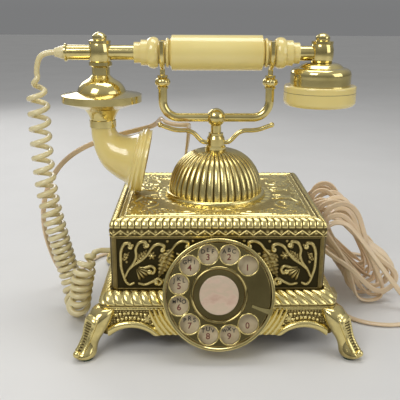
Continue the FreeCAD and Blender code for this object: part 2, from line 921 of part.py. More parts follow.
grip_end = d.grip_length / 2 + d.grip_bevel + d.collar_bead_width
arm_x = grip_end + d.handset_neck_length / 2
mouth_x = arm_x + d.mouth_reach
ear_x = arm_x + d.ear_reach
tail_x = mouth_x + d.tube_tail
z_arm = z_ball + d.arm_rise
z_spigot = z_seat + d.spring_seat + d.spring_length
z_lever = z_seat - d.cradle_travel - d.lever_room
neck_drop = (d.ball_radius.value ** 2 - d.neck_radius.value ** 2) ** 0.5
post = lathe("post", [
    (0, z_lever + d.gap),
    (d.rod_radius, z_lever + d.gap),
    (d.rod_radius, z_spigot),
    (d.spigot_radius, z_spigot),
    (d.spigot_radius, z_guide + d.gap),
    (d.shoulder_radius, z_guide + d.gap),
    (d.shoulder_radius, z_guide + d.gap + d.shoulder_height),
    (d.neck_radius, z_guide + d.gap + d.shoulder_height),
    (d.neck_radius, z_ball - Size(neck_drop, "sqrt(dims.ball_radius^2 - dims.neck_radius^2)")),
    (0, z_ball + d.ball_radius, d.ball_radius),
])
drill(post, "YZ_Plane", [(0, z_ball, d.yoke_radius)])
node(post, "cradle_post")

yoke = new_body("yoke_body")
yoke_path = draw(new_sketch(yoke, "XZ_Plane"), [
    (-arm_x, z_arm),
    (-arm_x, z_ball + d.yoke_bend),
    (d.yoke_bend - arm_x, z_ball, d.yoke_bend),
    (arm_x - d.yoke_bend, z_ball),
    (arm_x, z_ball + d.yoke_bend, d.yoke_bend),
    (arm_x, z_arm),
], closed=False)
yoke_section = circle(new_sketch(yoke, "XY_Plane", z_arm), -arm_x, 0, d.yoke_radius)
feature(yoke, "AdditivePipe", yoke_section, Spine=yoke_path)
node(yoke, "yoke")

fork_bend = d.handset_neck_radius + d.gap + d.prong_radius
z_prong = z_hand + d.prong_height
for side, name in ((-1, "fork_left"), (1, "fork_right")):
    fork = lathe(name, [
        (0, z_arm),
        (d.knob_radius * 0.9, z_arm),
        (d.knob_radius * 0.9, z_arm + d.knob_radius / 4),
        (d.knob_radius * 0.7, z_arm + d.knob_radius * 0.36),
        (d.knob_radius * 0.7, z_arm + d.knob_radius * 1.7, d.knob_radius * 0.86),
        (d.knob_radius * 0.85, z_arm + d.knob_radius * 1.8),
        (d.knob_radius * 0.85, z_arm + d.knob_radius * 2.1),
        (d.prong_radius, z_arm + d.knob_radius * 2.2),
        (d.prong_radius, z_hand - fork_bend),
        (0, z_hand - fork_bend),
    ], (side * arm_x, 0, 0))
    fork_path = draw(new_sketch(fork, "YZ_Plane"), [
        (-fork_bend, z_prong),
        (-fork_bend, z_hand),
        (0, z_hand - fork_bend, fork_bend),
        (fork_bend, z_hand, fork_bend),
        (fork_bend, z_prong),
    ], closed=False)
    fork_section = circle(new_sketch(fork, "XY_Plane", z_prong), 0, -fork_bend, d.prong_radius)
    feature(fork, "AdditivePipe", fork_section, Spine=fork_path)
    node(fork, name)

# Hook switch under the lid: a lever that follows the plunger up

z_under = z_top - d.lid_thickness
z_pivot = z_lever - d.lever_thickness / 2
lever = new_body("lever")
lever_sketch = new_sketch(lever, "XY_Plane", z_lever - d.lever_thickness)
draw(lever_sketch, [
    (-d.lever_tip, -d.lever_width / 2),
    (d.lever_arm + d.lever_tail, -d.lever_width / 2),
    (d.lever_arm + d.lever_tail, d.lever_width / 2),
    (-d.lever_tip, d.lever_width / 2),
])
feature(lever, "Pad", lever_sketch, Length=d.lever_thickness)
hub_sketch = circle(new_sketch(lever, "XZ_Plane"), d.lever_arm, z_pivot, 2 * d.lever_pin_radius)
feature(lever, "Pad", hub_sketch, Length=d.lever_width, SideType="Symmetric")
drill(lever, "XZ_Plane", [(d.lever_arm, z_pivot, d.lever_pin_radius + d.fit)])
node(lever, "switch_lever")

cheek_y = d.lever_width / 2 + d.gap
bracket_x = d.lever_arm - d.cheek_length / 2
bracket_width = 2 * (cheek_y + d.cheek_thickness)
cheek_low = z_pivot - 3 * d.lever_pin_radius
node(fuse(
    box("cheek", (bracket_x, cheek_y, cheek_low), (d.cheek_length, d.cheek_thickness, z_under - cheek_low)),
    box("cheek", (bracket_x, -cheek_y - d.cheek_thickness, cheek_low),
        (d.cheek_length, d.cheek_thickness, z_under - cheek_low)),
    box("flange", (bracket_x, -bracket_width / 2, z_under - d.cheek_thickness),
        (d.cheek_length, bracket_width, d.cheek_thickness)),
    rod("pin", (d.lever_arm, -bracket_width / 2, z_pivot),
        d.lever_pin_radius, bracket_width, V(1, 0, 0), -90),
), "switch_bracket")


def helix(radius, low, high, turns):
    """Quarter turns of a helix about Z, with the heading at each."""
    count = int(4 * turns)
    rise = (high - low) / (2 * math.pi * turns)
    points, headings = [], []
    for k in range(count + 1):
        turn = math.pi / 2 * k
        points.append(V(radius * math.cos(turn), radius * math.sin(turn), low + rise * turn))
        headings.append(V(-radius * math.sin(turn), radius * math.cos(turn), rise).normalize())
    return points, headings


spring_middle = (d.rod_radius.value + d.spigot_radius.value) / 2
spring_room = d.spring_wire.value / 2 + d.fit.value
spring_edges = biarcs(*helix(spring_middle, (z_seat + d.spring_seat).value + spring_room,
                             z_spigot.value - spring_room, d.spring_turns.value))
spring_form = tube_along(spring_edges, d.spring_wire.value / 2)
check_volume("plunger spring", spring_form, spring_edges, d.spring_wire.value / 2)
node(formed("spring", spring_form), "plunger_spring")

# Dial

w_card = -d.wheel_thickness - d.card_gap
w_plate = w_card - d.card_thickness
w_ledge = w_plate - d.dial_plate_thickness
w_bridge = w_ledge - d.bridge_drop
w_cup = d.bezel_proud - d.bezel_height
cup_inner = d.cup_radius - d.cup_wall

node(lathe("cup", [
    (d.cup_radius, w_cup),
    (cup_inner, w_cup),
    (cup_inner, w_ledge),
    (cup_inner - d.ledge_width, w_ledge),
    (d.cup_back_radius - d.cup_wall, d.cup_wall - d.cup_depth),
    (d.shaft_radius * 2, d.cup_wall - d.cup_depth),
    (d.shaft_radius * 2, -d.cup_depth),
    (d.cup_back_radius, -d.cup_depth),
    (d.cup_radius, -d.cup_rim),
], **DIAL), "dial_cup")

bezel_inner = d.cup_radius - d.bezel_overlap
bezel_round = d.bezel_height / 3
node(lathe("bezel", [
    (bezel_inner, w_cup),
    (d.cup_radius, w_cup),
    (d.cup_radius, d.bezel_proud - bezel_round),
    (d.cup_radius - bezel_round, d.bezel_proud, bezel_round),
    (bezel_inner + bezel_round / 2, d.bezel_proud),
    (bezel_inner, d.bezel_proud - bezel_round / 2),
], **DIAL), "dial_bezel")

node(lathe("card", [
    (d.shaft_radius + 1, w_plate),
    (cup_inner - d.fit, w_plate),
    (cup_inner - d.fit, w_card),
    (d.shaft_radius + 1, w_card),
], **DIAL), "number_plate")

pinion_radius = d.gear_radius * d.pinion_teeth / d.gear_teeth
gear_distance = d.gear_radius + pinion_radius
governor_hole = (0, gear_distance, d.pivot_radius + d.fit)
dial_plate = lathe("dial_plate_body", [
    (d.shaft_radius + d.fit, w_plate),
    (cup_inner - d.fit, w_plate),
    (cup_inner - d.fit, w_ledge),
    (2 * d.shaft_radius, w_ledge),
    (2 * d.shaft_radius, w_ledge - d.gear_drop / 2),
    (d.shaft_radius + d.fit, w_ledge - d.gear_drop / 2),
], **DIAL)
drill(dial_plate, "XY_Plane", [governor_hole])
node(dial_plate, "dial_plate")

bridge = lathe("bridge_body", [
    (d.shaft_radius + d.fit, w_bridge),
    (d.bridge_radius, w_bridge),
    (d.bridge_radius, w_bridge - d.bridge_thickness),
    (d.shaft_radius + d.fit, w_bridge - d.bridge_thickness),
], **DIAL)
drill(bridge, "XY_Plane", [governor_hole])
pillars = [rod("pillar", on_dial(d.pillar_circle * cosine(a), d.pillar_circle * sine(a), w_bridge),
               d.pillar_radius, d.bridge_drop, DIAL["axis"], DIAL["angle"]) for a in (30, 150, 270)]
node(fuse(bridge, *pillars), "rear_bridge")

node(lathe("barrel", [
    (d.shaft_radius + d.fit, w_bridge),
    (d.barrel_radius, w_bridge),
    (d.barrel_radius, w_bridge + d.barrel_height),
    (d.shaft_radius + d.fit, w_bridge + d.barrel_height),
], **DIAL), "spring_barrel")

spindle = d.shaft_radius * 2 / 3
shaft = lathe("shaft", [
    (0, w_bridge - d.bridge_thickness - d.gap),
    (d.shaft_radius, w_bridge - d.bridge_thickness - d.gap),
    (d.shaft_radius, w_card + d.gap),
    (2 * d.shaft_radius, w_card + d.gap),
    (2 * d.shaft_radius, -d.wheel_thickness),
    (spindle, -d.wheel_thickness),
    (spindle, d.dish_height / 2),
    (0, d.dish_height / 2),
], **DIAL)

wheel = lathe("wheel", [
    (spindle, -d.wheel_thickness),
    (d.wheel_radius, -d.wheel_thickness),
    (d.wheel_radius, -d.wheel_thickness / 3),
    (d.wheel_radius - d.wheel_thickness / 3, 0, d.wheel_thickness / 3),
    (spindle, 0),
], **DIAL)
first_spot = (d.hole_circle * cosine(d.hole_first), d.hole_circle * sine(d.hole_first), d.hole_radius)
first_hole = drill(wheel, "XY_Plane", [first_spot])
ring_pattern(wheel, first_hole, first_hole.Profile[0], d.hole_count, d.hole_step * (d.hole_count - 1))
node(wheel, "finger_wheel")

dish_inner = d.dish_radius - d.dish_rim
node(lathe("dish", [
    (spindle, 0),
    (d.dish_radius, 0),
    (d.dish_radius, d.dish_height / 2),
    (d.dish_radius - d.dish_rim / 2, d.dish_height, d.dish_rim),
    (dish_inner, d.dish_height / 2, d.dish_rim),
    (dish_inner, d.dish_floor),
    (spindle, d.dish_floor),
], **DIAL), "centre_dish")

button_edge = d.dish_floor + d.button_height / 2
button_top = d.dish_floor + d.button_height
node(lathe("button", [
    (0, d.dish_height / 2 + d.gap),
    (d.button_radius - 1, d.dish_height / 2 + d.gap),
    (d.button_radius - 1, d.dish_floor),
    (d.button_radius, d.dish_floor),
    (d.button_radius, button_edge),
    (0, button_top, crown(2 * d.button_radius, button_top - button_edge)),
], **DIAL), "centre_button")

stop = new_body("stop", **DIAL)
stop_sketch = new_sketch(stop, "XY_Plane", d.bezel_proud, -d.stop_angle)
draw(stop_sketch, [
    (d.cup_radius - d.gap, -d.stop_width / 2),
    (d.cup_radius - d.gap, d.stop_width / 2),
    (d.cup_radius - d.stop_length, d.stop_width / 5, -2 * d.stop_length),
    (d.cup_radius - d.stop_length, -d.stop_width / 5),
])
feature(stop, "Pad", stop_sketch, Length=d.stop_thickness)
node(stop, "finger_stop")

# Share of the circular pitch that a tooth takes at its root and tip, and its heights in modules
TOOTH_ROOT = 0.30
TOOTH_TIP = 0.11
ADDENDUM = 0.7
DEDENDUM = 1.1
module = 2 * d.gear_radius / d.gear_teeth


def add_teeth(body, radius, count, low):
    """Teeth round a blank of the root radius, the first along the body's own Y."""
    sk = new_sketch(body, "XY_Plane", low)
    root, tip = radius - (DEDENDUM + 0.1) * module, radius + ADDENDUM * module
    foot, edge = module * math.pi * TOOTH_ROOT, module * math.pi * TOOTH_TIP
    draw(sk, [(-foot, root), (foot, root), (edge, tip), (-edge, tip)])
    tooth = feature(body, "Pad", sk, Length=d.gear_width)
    ring_pattern(body, tooth, sk, count, 360)


w_gear = w_ledge - d.gear_drop - d.gear_width
gear = lathe("gear", [
    (d.shaft_radius, w_gear),
    (d.gear_radius - DEDENDUM * module, w_gear),
    (d.gear_radius - DEDENDUM * module, w_gear + d.gear_width),
    (d.shaft_radius, w_gear + d.gear_width),
], **DIAL)
add_teeth(gear, d.gear_radius, d.gear_teeth, w_gear)
node(gear, "main_gear")

cam_top = w_ledge - d.cam_drop
cam = lathe("cam", [
    (d.shaft_radius, cam_top - d.gear_width),
    (d.cam_radius, cam_top - d.gear_width),
    (d.cam_radius, cam_top),
    (d.shaft_radius, cam_top),
], **DIAL)
notch = drill(cam, "XY_Plane", [(0, d.cam_radius, d.cam_radius / 8)])
ring_pattern(cam, notch, notch.Profile[0], d.hole_count, d.hole_step * (d.hole_count - 1))
node(fuse(shaft, cam), "dial_shaft")

governor = lathe("governor", [
    (0, w_bridge - d.bridge_thickness),
    (d.pivot_radius, w_bridge - d.bridge_thickness),
    (d.pivot_radius, w_bridge + d.gap),
    (d.governor_radius, w_bridge + d.gap),
    (d.governor_radius, w_bridge + d.barrel_height),
    (2 * d.pivot_radius, w_bridge + d.barrel_height),
    (2 * d.pivot_radius, w_gear),
    (pinion_radius - DEDENDUM * module, w_gear),
    (pinion_radius - DEDENDUM * module, w_gear + d.gear_width),
    (d.pivot_radius, w_gear + d.gear_width),
    (d.pivot_radius, w_plate - d.gap),
    (0, w_plate - d.gap),
], on_dial(0, gear_distance, 0), DIAL["axis"], DIAL["angle"])
add_teeth(governor, pinion_radius, d.pinion_teeth, w_gear)
node(governor, "governor")

# Ringer and network on the base plate

gong_x = d.gong_gap / 2 + d.gong_radius
z_ringer = z_floor + d.ringer_plate
z_gong = z_floor + d.gong_lift
z_gong_top = z_gong + d.gong_height
pivot_y = d.ringer_back - d.clapper_length
coil_y = pivot_y - d.coil_radius - d.clapper_hub - 2
z_clapper = z_floor + d.clapper_height
z_coil = z_ringer + d.coil_radius + 2
gong_shoulder = d.gong_rim * 2

gongs = [lathe("gong", [
    (d.gong_radius, 0),
    (d.gong_radius, d.gong_rim),
    (gong_shoulder, d.gong_height, d.gong_arc),
    (d.gong_post + d.fit, d.gong_height),
    (d.gong_post + d.fit, d.gong_height - d.gong_wall),
    (gong_shoulder, d.gong_height - d.gong_wall),
    (d.gong_radius - d.gong_wall, d.gong_rim, d.gong_wall - d.gong_arc),
    (d.gong_radius - d.gong_wall, 0),
], (side * gong_x, d.ringer_back, z_gong)) for side in (-1, 1)]
node(group(*gongs), "gongs")

posts = [lathe("gong_post", [
    (0, z_floor),
    (2 * d.gong_post, z_floor),
    (2 * d.gong_post, z_gong_top - d.gong_wall),
    (d.gong_post, z_gong_top - d.gong_wall),
    (d.gong_post, z_gong_top + d.gong_wall),
    (0, z_gong_top + d.gong_wall),
], (side * gong_x, d.ringer_back, 0)) for side in (-1, 1)]
clapper_pin = lathe("clapper_pin", [
    (0, z_floor),
    (2 * d.lever_pin_radius, z_floor),
    (2 * d.lever_pin_radius, z_clapper - d.clapper_hub / 2 - d.gap),
    (d.lever_pin_radius, z_clapper - d.clapper_hub / 2 - d.gap),
    (d.lever_pin_radius, z_clapper + d.clapper_hub),
    (0, z_clapper + d.clapper_hub),
], (0, pivot_y, 0))
bar_half = d.coil_length / 2 + d.gong_wall
coil_low = coil_y - d.coil_radius / 2
upright = (d.gong_wall, d.coil_radius, z_coil - z_floor + d.coil_radius)
node(fuse(
    box("gong_bar", (-gong_x - 2 * d.gong_post, d.ringer_back - 2 * d.gong_post, z_floor),
        (2 * gong_x + 4 * d.gong_post, 4 * d.gong_post, d.ringer_plate)),
    box("coil_bar", (-bar_half, coil_low, z_floor), (2 * bar_half, d.coil_radius, d.ringer_plate)),
    box("strip", (-2 * d.gong_post, coil_y, z_floor),
        (4 * d.gong_post, d.ringer_back - coil_y, d.ringer_plate)),
    box("upright", (-bar_half, coil_low, z_floor), upright),
    box("upright", (d.coil_length / 2, coil_low, z_floor), upright),
    *posts,
    clapper_pin,
), "ringer_frame")

spool_flange = d.coil_length / 15
node(lathe("coil", [
    (0, 0),
    (d.coil_radius, 0),
    (d.coil_radius, spool_flange),
    (d.coil_radius * 0.85, spool_flange),
    (d.coil_radius * 0.85, d.coil_length - spool_flange),
    (d.coil_radius, d.coil_length - spool_flange),
    (d.coil_radius, d.coil_length),
    (0, d.coil_length),
], (-d.coil_length / 2, coil_y, z_coil), V(0, 1, 0), 90), "ringer_coil")

clapper_hub = lathe("clapper_hub", [
    (d.lever_pin_radius + d.fit, -d.clapper_hub / 2),
    (d.clapper_hub, -d.clapper_hub / 2),
    (d.clapper_hub, d.clapper_hub / 2),
    (d.lever_pin_radius + d.fit, d.clapper_hub / 2),
], (0, pivot_y, z_clapper))
clapper_arm = rod("clapper_arm", (0, pivot_y + d.clapper_hub * 0.8, z_clapper), d.clapper_ball * 0.4,
                  d.clapper_length - d.clapper_hub * 0.8, V(1, 0, 0), -90)
clapper_ball = doc.addObject("Part::Sphere", "clapper_ball")
place(clapper_ball, (0, d.ringer_back, z_clapper))
clapper_ball.setExpression("Radius", d.clapper_ball.text)
node(fuse(clapper_hub, clapper_arm, clapper_ball), "clapper")

node(box("network", (-d.network_x, -d.network_depth / 2, z_floor),
         (d.network_width, d.network_depth, d.network_height)), "network_block")

# Cord grommets: a bush in the wall with a flange outside


def grommet(wall, sink):
    """Turned about the way out; sink is how far the wall's face lies behind the zero plane."""
    return [
        (0, -wall),
        (bush_radius, -wall),
        (bush_radius, -sink),
        (d.grommet_radius, -sink),
        (d.grommet_radius, d.grommet_flange - sink),
        (0, d.grommet_flange - sink),
    ]


node(group(
    lathe("curly_grommet", grommet(d.box_wall, d.panel_recess), curly_exit, V(0, 1, 0), -90),
    lathe("line_grommet", grommet(d.frame_wall, size(0)), line_exit, V(1, 0, 0), -90),
), "cord_grommets")

# Handset, turned about its own long axis; its height is the fork's middle

HANDLE = {"at": (0, 0, z_hand), "axis": V(0, 1, 0), "angle": 90}
HANDLE_BACK = {"at": (0, 0, z_hand), "axis": V(0, 1, 0), "angle": -90}
bore = d.tube_radius + d.fit
node(lathe("tube", [
    (d.tube_radius - 1, -tail_x),
    (d.tube_radius + d.tube_rim, -tail_x),
    (d.tube_radius + d.tube_rim, d.tube_rim - tail_x),
    (d.tube_radius, 2 * d.tube_rim - tail_x),
    (d.tube_radius, ear_x),
    (d.tube_radius - 1, ear_x),
], **HANDLE), "handle_tube")

bevel_end = grip_end - d.collar_bead_width
collar_root = d.collar_bead_radius - d.collar_bead_width * 0.45
collar_bend = crown(d.collar_bead_width, d.collar_bead_width * 0.45)
node(lathe("grip_body", [
    (bore, -grip_end),
    (collar_root, -grip_end),
    (collar_root, -bevel_end, collar_bend),
    (d.grip_end_radius, -bevel_end),
    (d.grip_radius, -d.grip_length / 2),
    (d.grip_radius, d.grip_length / 2),
    (d.grip_end_radius, bevel_end),
    (collar_root, bevel_end),
    (collar_root, grip_end, collar_bend),
    (bore, grip_end),
], **HANDLE), "grip")

bead_start = grip_end + d.handset_neck_length
bead_end = bead_start + d.bead_width
bead_root = d.bead_radius - d.bead_crown
FERRULE = [
    (bore, grip_end),
    (d.handset_neck_radius, grip_end),
    (d.handset_neck_radius, bead_start),
    (bead_root, bead_start),
    (bead_root, bead_end, crown(d.bead_width, d.bead_crown)),
    (d.ring_radius, bead_end),
    (d.ring_radius, bead_end + d.ring_width),
    (d.ferrule_radius, bead_end + d.ring_width),
    (d.ferrule_radius, bead_end + 2 * d.ring_width),
    (bore, bead_end + 2 * d.ring_width),
]
node(lathe("ferrule", FERRULE, **HANDLE_BACK), "ferrule_left")
node(lathe("ferrule", FERRULE, **HANDLE), "ferrule_right")

tee_half = d.tee_height / 2
tee_end = d.tee_radius - d.tee_bulge
TEE = [
    (0, -tee_half),
    (tee_end, -tee_half),
    (tee_end, tee_half, crown(d.tee_height, d.tee_bulge)),
    (0, tee_half),
]
MOUTH = {"at": (-mouth_x, 0, z_hand)}
EAR = {"at": (ear_x, 0, z_hand)}
mouth_tee = lathe("mouth_tee", TEE, **MOUTH)
drill(mouth_tee, "YZ_Plane", [(0, 0, d.tube_radius)])
node(mouth_tee, "transmitter_tee")
ear_bore = rod("ear_bore", (ear_x - 2 * d.tee_radius, 0, z_hand),
               d.tube_radius, 2 * d.tee_radius, V(0, 1, 0), 90)
node(cut(lathe("ear_tee", TEE, **EAR), ear_bore), "receiver_tee")

finial_ring = d.finial_height / 4
finial_knob = d.finial_radius * 0.65
finial_shoulder = tee_half + 2.6 * finial_ring
finial_top = tee_half + d.finial_height
node(group(*[lathe("finial", [
    (0, tee_half),
    (d.finial_radius, tee_half),
    (d.finial_radius, tee_half + finial_ring),
    (finial_knob, tee_half + 1.4 * finial_ring),
    (finial_knob, finial_shoulder, d.finial_radius),
    (0, finial_top, crown(2 * finial_knob, finial_top - finial_shoulder)),
], **spot) for spot in (MOUTH, EAR)]), "finials")

z_bell = -tee_half - d.bell_drop
bell_lip = d.bell_radius - d.bell_rim
bell_foot = z_bell + d.bell_foot_rise
neck_end = -tee_half - d.bell_neck_length
bell_turn = neck_end - d.bell_turn_drop
node(lathe("bell", [
    (d.bell_neck_radius - d.bell_wall, -tee_half),
    (d.tee_radius, -tee_half),
    (d.tee_radius, -tee_half - d.bell_rim),
    (d.bell_neck_radius, -tee_half - 1.5 * d.bell_rim),
    (d.bell_neck_radius, neck_end),
    (d.bell_turn_radius, bell_turn, d.bell_flare),
    (d.bell_foot_radius, bell_foot, -d.bell_crown),
    (d.bell_radius, z_bell + d.bell_rim),
    (d.bell_radius, z_bell),
    (bell_lip, z_bell),
    (d.bell_foot_radius - d.bell_wall, bell_foot - d.bell_wall),
    (d.bell_turn_radius - d.bell_wall / 2, bell_turn - 0.9 * d.bell_wall, d.bell_crown - d.bell_wall),
    (d.bell_neck_radius - d.bell_wall, neck_end - 0.7 * d.bell_wall, -d.bell_flare - d.bell_wall),
], **MOUTH), "transmitter_bell")

waist = z_bell - d.cone_shoulder
cone_end = z_bell - d.cone_height
node(lathe("cone", [
    (bell_lip, z_bell),
    (d.bell_radius, z_bell),
    (d.bell_radius, z_bell - d.bell_rim),
    (bell_lip, z_bell - 1.4 * d.bell_rim),
    (d.cone_waist_radius, waist),
    (d.cone_end_radius - d.bell_wall / 2, cone_end + d.cone_ring, d.cone_round),
    (d.cone_end_radius, cone_end + d.cone_ring),
    (d.cone_end_radius, cone_end),
    (d.cone_end_radius - d.bell_wall, cone_end),
    (d.cone_end_radius - 1.5 * d.bell_wall, cone_end + d.cone_ring),
    (d.cone_waist_radius - d.bell_wall, waist + 1.2 * d.bell_wall, -d.cone_round - d.bell_wall),
], **MOUTH), "transmitter_cone")

node(lathe("capsule", [
    (0, z_bell + d.capsule_height / 2),
    (d.capsule_radius, z_bell + d.capsule_height / 2),
    (bell_lip - d.fit, z_bell),
    (d.capsule_radius, z_bell - d.capsule_height / 2),
    (0, z_bell - d.capsule_height / 2),
], **MOUTH), "transmitter_capsule")

# Mouth horn: share of the elbow's turn, or of the band past it, and of the way to the mouth's radius
HORN_TURN = [(0.0, 0.0), (0.34, 0.10), (0.66, 0.32), (0.86, 0.52), (1.0, 0.68)]
HORN_BAND = [(0.5, 0.86), (1.0, 1.0)]


def mouth_horn(inset):
    """A loft through circles along an elbow and a short straight band."""
    bend, turn = d.elbow_radius.value, math.radians(d.elbow_turn.value)
    start, end = d.elbow_start_radius.value, d.mouth_radius.value
    top = V(-mouth_x.value, 0, (z_hand + cone_end).value)
    stations = []
    for share, grown in HORN_TURN:
        a = share * turn
        stations.append((top + V(bend * (1 - math.cos(a)), 0, -bend * math.sin(a)), a, grown))
    elbow_end = stations[-1][0]
    ahead = V(math.sin(turn), 0, -math.cos(turn))
    for share, grown in HORN_BAND:
        stations.append((elbow_end + ahead * (share * d.mouth_length.value), turn, grown))
    rings = []
    for middle, a, grown in stations:
        ring = Part.Wire([Part.makeCircle(start + (end - start) * grown - inset)])
        ring.rotate(V(), V(0, 1, 0), -math.degrees(a))
        ring.translate(middle)
        rings.append(ring)
    return Part.makeLoft(rings, True, False)


node(formed("mouth_horn", mouth_horn(0).cut(mouth_horn(d.horn_bore_wall.value))), "mouthpiece")

ear_cup_low = -tee_half - d.ear_cup_height
ear_cup_inner = d.cup_top_radius - d.bell_wall
ear_shoulder = d.cup_top_radius - d.ear_cup_round
ear_slope = -tee_half - d.ear_crown_drop
node(lathe("ear_cup", [
    (0, -tee_half),
    (d.ear_crown_radius, -tee_half),
    (ear_shoulder, ear_slope),
    (d.cup_top_radius, ear_slope - d.ear_cup_round, -d.ear_cup_round),
    (d.cup_top_radius, ear_cup_low),
    (ear_cup_inner, ear_cup_low),
    (ear_cup_inner, ear_slope - d.ear_cup_round),
    (ear_shoulder, ear_slope - d.bell_wall, d.ear_cup_round - d.bell_wall),
    (d.ear_crown_radius, -tee_half - d.bell_wall),
    (0, -tee_half - d.bell_wall),
], **EAR), "receiver_cup")

cap_top = ear_cup_low + d.ear_cap_lap
cap_low = cap_top - d.ear_cap_height
cap_floor = cap_low + d.ear_cap_wall
cap_round = d.ear_cap_wall * 1.3
cap_inner = ear_cup_inner - d.gap
ear_cap = lathe("ear_cap_body", [
    (0, cap_low + d.ear_cap_wall / 2),
    (d.ear_hole_circle * 2, cap_low + d.ear_cap_wall / 2),
    (d.ear_cap_radius - cap_round, cap_low),
    (d.ear_cap_radius, cap_low + cap_round, cap_round),
    (d.ear_cap_radius, cap_top - d.ear_cap_wall / 2),
    (d.ear_cap_radius - d.ear_cap_wall / 2, cap_top, d.ear_cap_wall / 2),
    (d.cup_top_radius + d.fit, cap_top),
    (d.cup_top_radius + d.fit, ear_cup_low - d.fit),
    (cap_inner, ear_cup_low - d.fit),
    (cap_inner, cap_floor),
    (0, cap_floor),
], **EAR)
drill(ear_cap, "XY_Plane", [(0, 0, d.ear_hole_radius)])
ear_hole = drill(ear_cap, "XY_Plane", [(d.ear_hole_circle, 0, d.ear_hole_radius)])
ring_pattern(ear_cap, ear_hole, ear_hole.Profile[0], d.ear_hole_count, 360)
node(ear_cap, "receiver_cap")
node(rod("receiver", (ear_x, 0, z_hand + cap_floor),
         cap_inner - d.gap, ear_cup_low - cap_floor - d.gap), "receiver_capsule")

node(lathe("boot", [
    (0, tail_x),
    (d.boot_radius, tail_x),
    (d.boot_radius, tail_x + d.boot_length / 4),
    (d.curly_wire * 0.75, tail_x + d.boot_length),
    (0, tail_x + d.boot_length),
], **HANDLE_BACK), "cord_boot")

# Curly cord: one unbroken tube wound about a route from the handset's boot to the casket's left grommet

CURLY_ROUTE = [
    (-126, 0, 215), (-136, 0, 215), (-141, 0, 205), (-141.3, 0, 187), (-141.5, 0.3, 160), (-141, -0.5, 128),
    (-138.5, -2.5, 98), (-133, -5, 72), (-127, -6, 46), (-121.5, -7.1, 21.6), (-119.3, -13.1, 12.8),
    (-115.8, -22.8, 9.4), (-112.2, -32.4, 12.8), (-110, -38.4, 21.6), (-106.5, -39, 44), (-101.5, -37, 57.5),
    (-95.5, -32.5, 63), (-88, -30, 62), (-80, -30, 62),
]
# Pitch of the curls by share of the route: drawn out by its own weight at the top, close at the bottom
CURLY_PITCH = [(0.0, 13), (0.30, 11.5), (0.45, 7.5), (0.55, 5.5), (1.0, 5.5)]
FINE_STEP = 0.1
BEND_WINDOW = 5.0


def between(table, share):
    """The value of a table of (share, value) at a share."""
    for (low, first), (high, last) in zip(table, table[1:]):
        if share <= high:
            return first + (last - first) * (share - low) / (high - low)
    return table[-1][1]


def smooth(share):
    share = min(max(share, 0), 1)
    return share * share * (3 - 2 * share)


def curls(route):
    """A winding about a route: its points and headings at every quarter turn."""
    axis = fine_points(rounded_path(route)[0], FINE_STEP)
    last = len(axis) - 1
    ways = [(axis[min(i + 1, last)] - axis[max(i - 1, 0)]).normalize() for i in range(last + 1)]
    length = sum(p.distanceToPoint(q) for p, q in zip(axis, axis[1:]))
    window = int(BEND_WINDOW / FINE_STEP)
    side = V(0, 1, 0)
    turn, along = 0.0, 0.0
    wound, phases = [], []
    for i, (here, way) in enumerate(zip(axis, ways)):
        step = here.distanceToPoint(axis[i - 1]) if i else 0.0
        along += step
        rise = smooth((along - d.curly_lead.value) / d.curly_ramp.value)
        fall = smooth((length - along - d.curly_tail.value) / d.curly_ramp.value)
        arm = d.curly_radius.value * min(rise, fall)
        bend = ways[min(i + window, last)].getAngle(ways[max(i - window, 0)]) / (2 * BEND_WINDOW)
        pitch = between(CURLY_PITCH, along / length) / max(1 - arm * bend, 0.4)
        turn += 2 * math.pi * step / pitch
        side = (side - way * side.dot(way)).normalize()
        wound.append(here + side * (arm * math.cos(turn)) + way.cross(side) * (arm * math.sin(turn)))
        phases.append(turn)
    stops = [0]
    for i in range(1, last):
        if phases[i] >= len(stops) * math.pi / 2:
            stops.append(i)
    stops[-1] = last
    points = [wound[i] for i in stops]
    headings = [(wound[min(i + 1, last)] - wound[max(i - 1, 0)]).normalize() for i in stops]
    print("curly cord: %.1f turns" % (phases[-1] / (2 * math.pi)))
    return points, headings


curly_edges = biarcs(*curls(CURLY_ROUTE))
curly_form = tube_along(curly_edges, d.curly_wire.value / 2)
check_volume("curly cord", curly_form, curly_edges, d.curly_wire.value / 2)
# A cord's gap to itself is measured at points this far apart, leaving out the neighbours on the same run
CURLY_STEP = 1.0
CURLY_SKIP = 12
HANK_STEP = 1.5
HANK_SKIP = 20
check_gap("curly cord", fine_points(curly_edges, CURLY_STEP), d.curly_wire.value, CURLY_SKIP)
node(formed("curly", curly_form), "curly_cord")

# Line cord: out of the back, up over the left horn, down to the table and round to a hank on the right

line_radius = d.line_wire.value / 2


def hank_spot(turn):
    """The middle of the cord in the hank: long leaning loops that step towards the front."""
    lean = math.radians(d.hank_lean.value + HANK_SWAY * math.sin(0.8 * turn))
    along, across = V(math.cos(lean), 0, -math.sin(lean)), V(math.sin(lean), 0, math.cos(lean))
    reach = d.hank_length.value * (1 + HANK_UNEVEN * math.sin(1.9 * turn))
    middle = V(d.hank_x.value, d.hank_y.value - d.hank_pitch.value * turn, d.hank_z.value)
    a = 2 * math.pi * turn
    return middle - along * (reach * math.cos(a)) + across * (d.hank_waist.value * math.sin(a))


HANK_SWAY = 5.0
HANK_UNEVEN = 0.05
ENTRY_RUN = 42
TAIL_RUN = 52
NUDGE = 1e-4
hank_turns = [k / 4 - 0.25 for k in range(int(4 * d.hank_turns.value) + 3)]
hank_points = [hank_spot(t) for t in hank_turns]
hank_headings = [(hank_spot(t + NUDGE) - hank_spot(t - NUDGE)).normalize() for t in hank_turns]

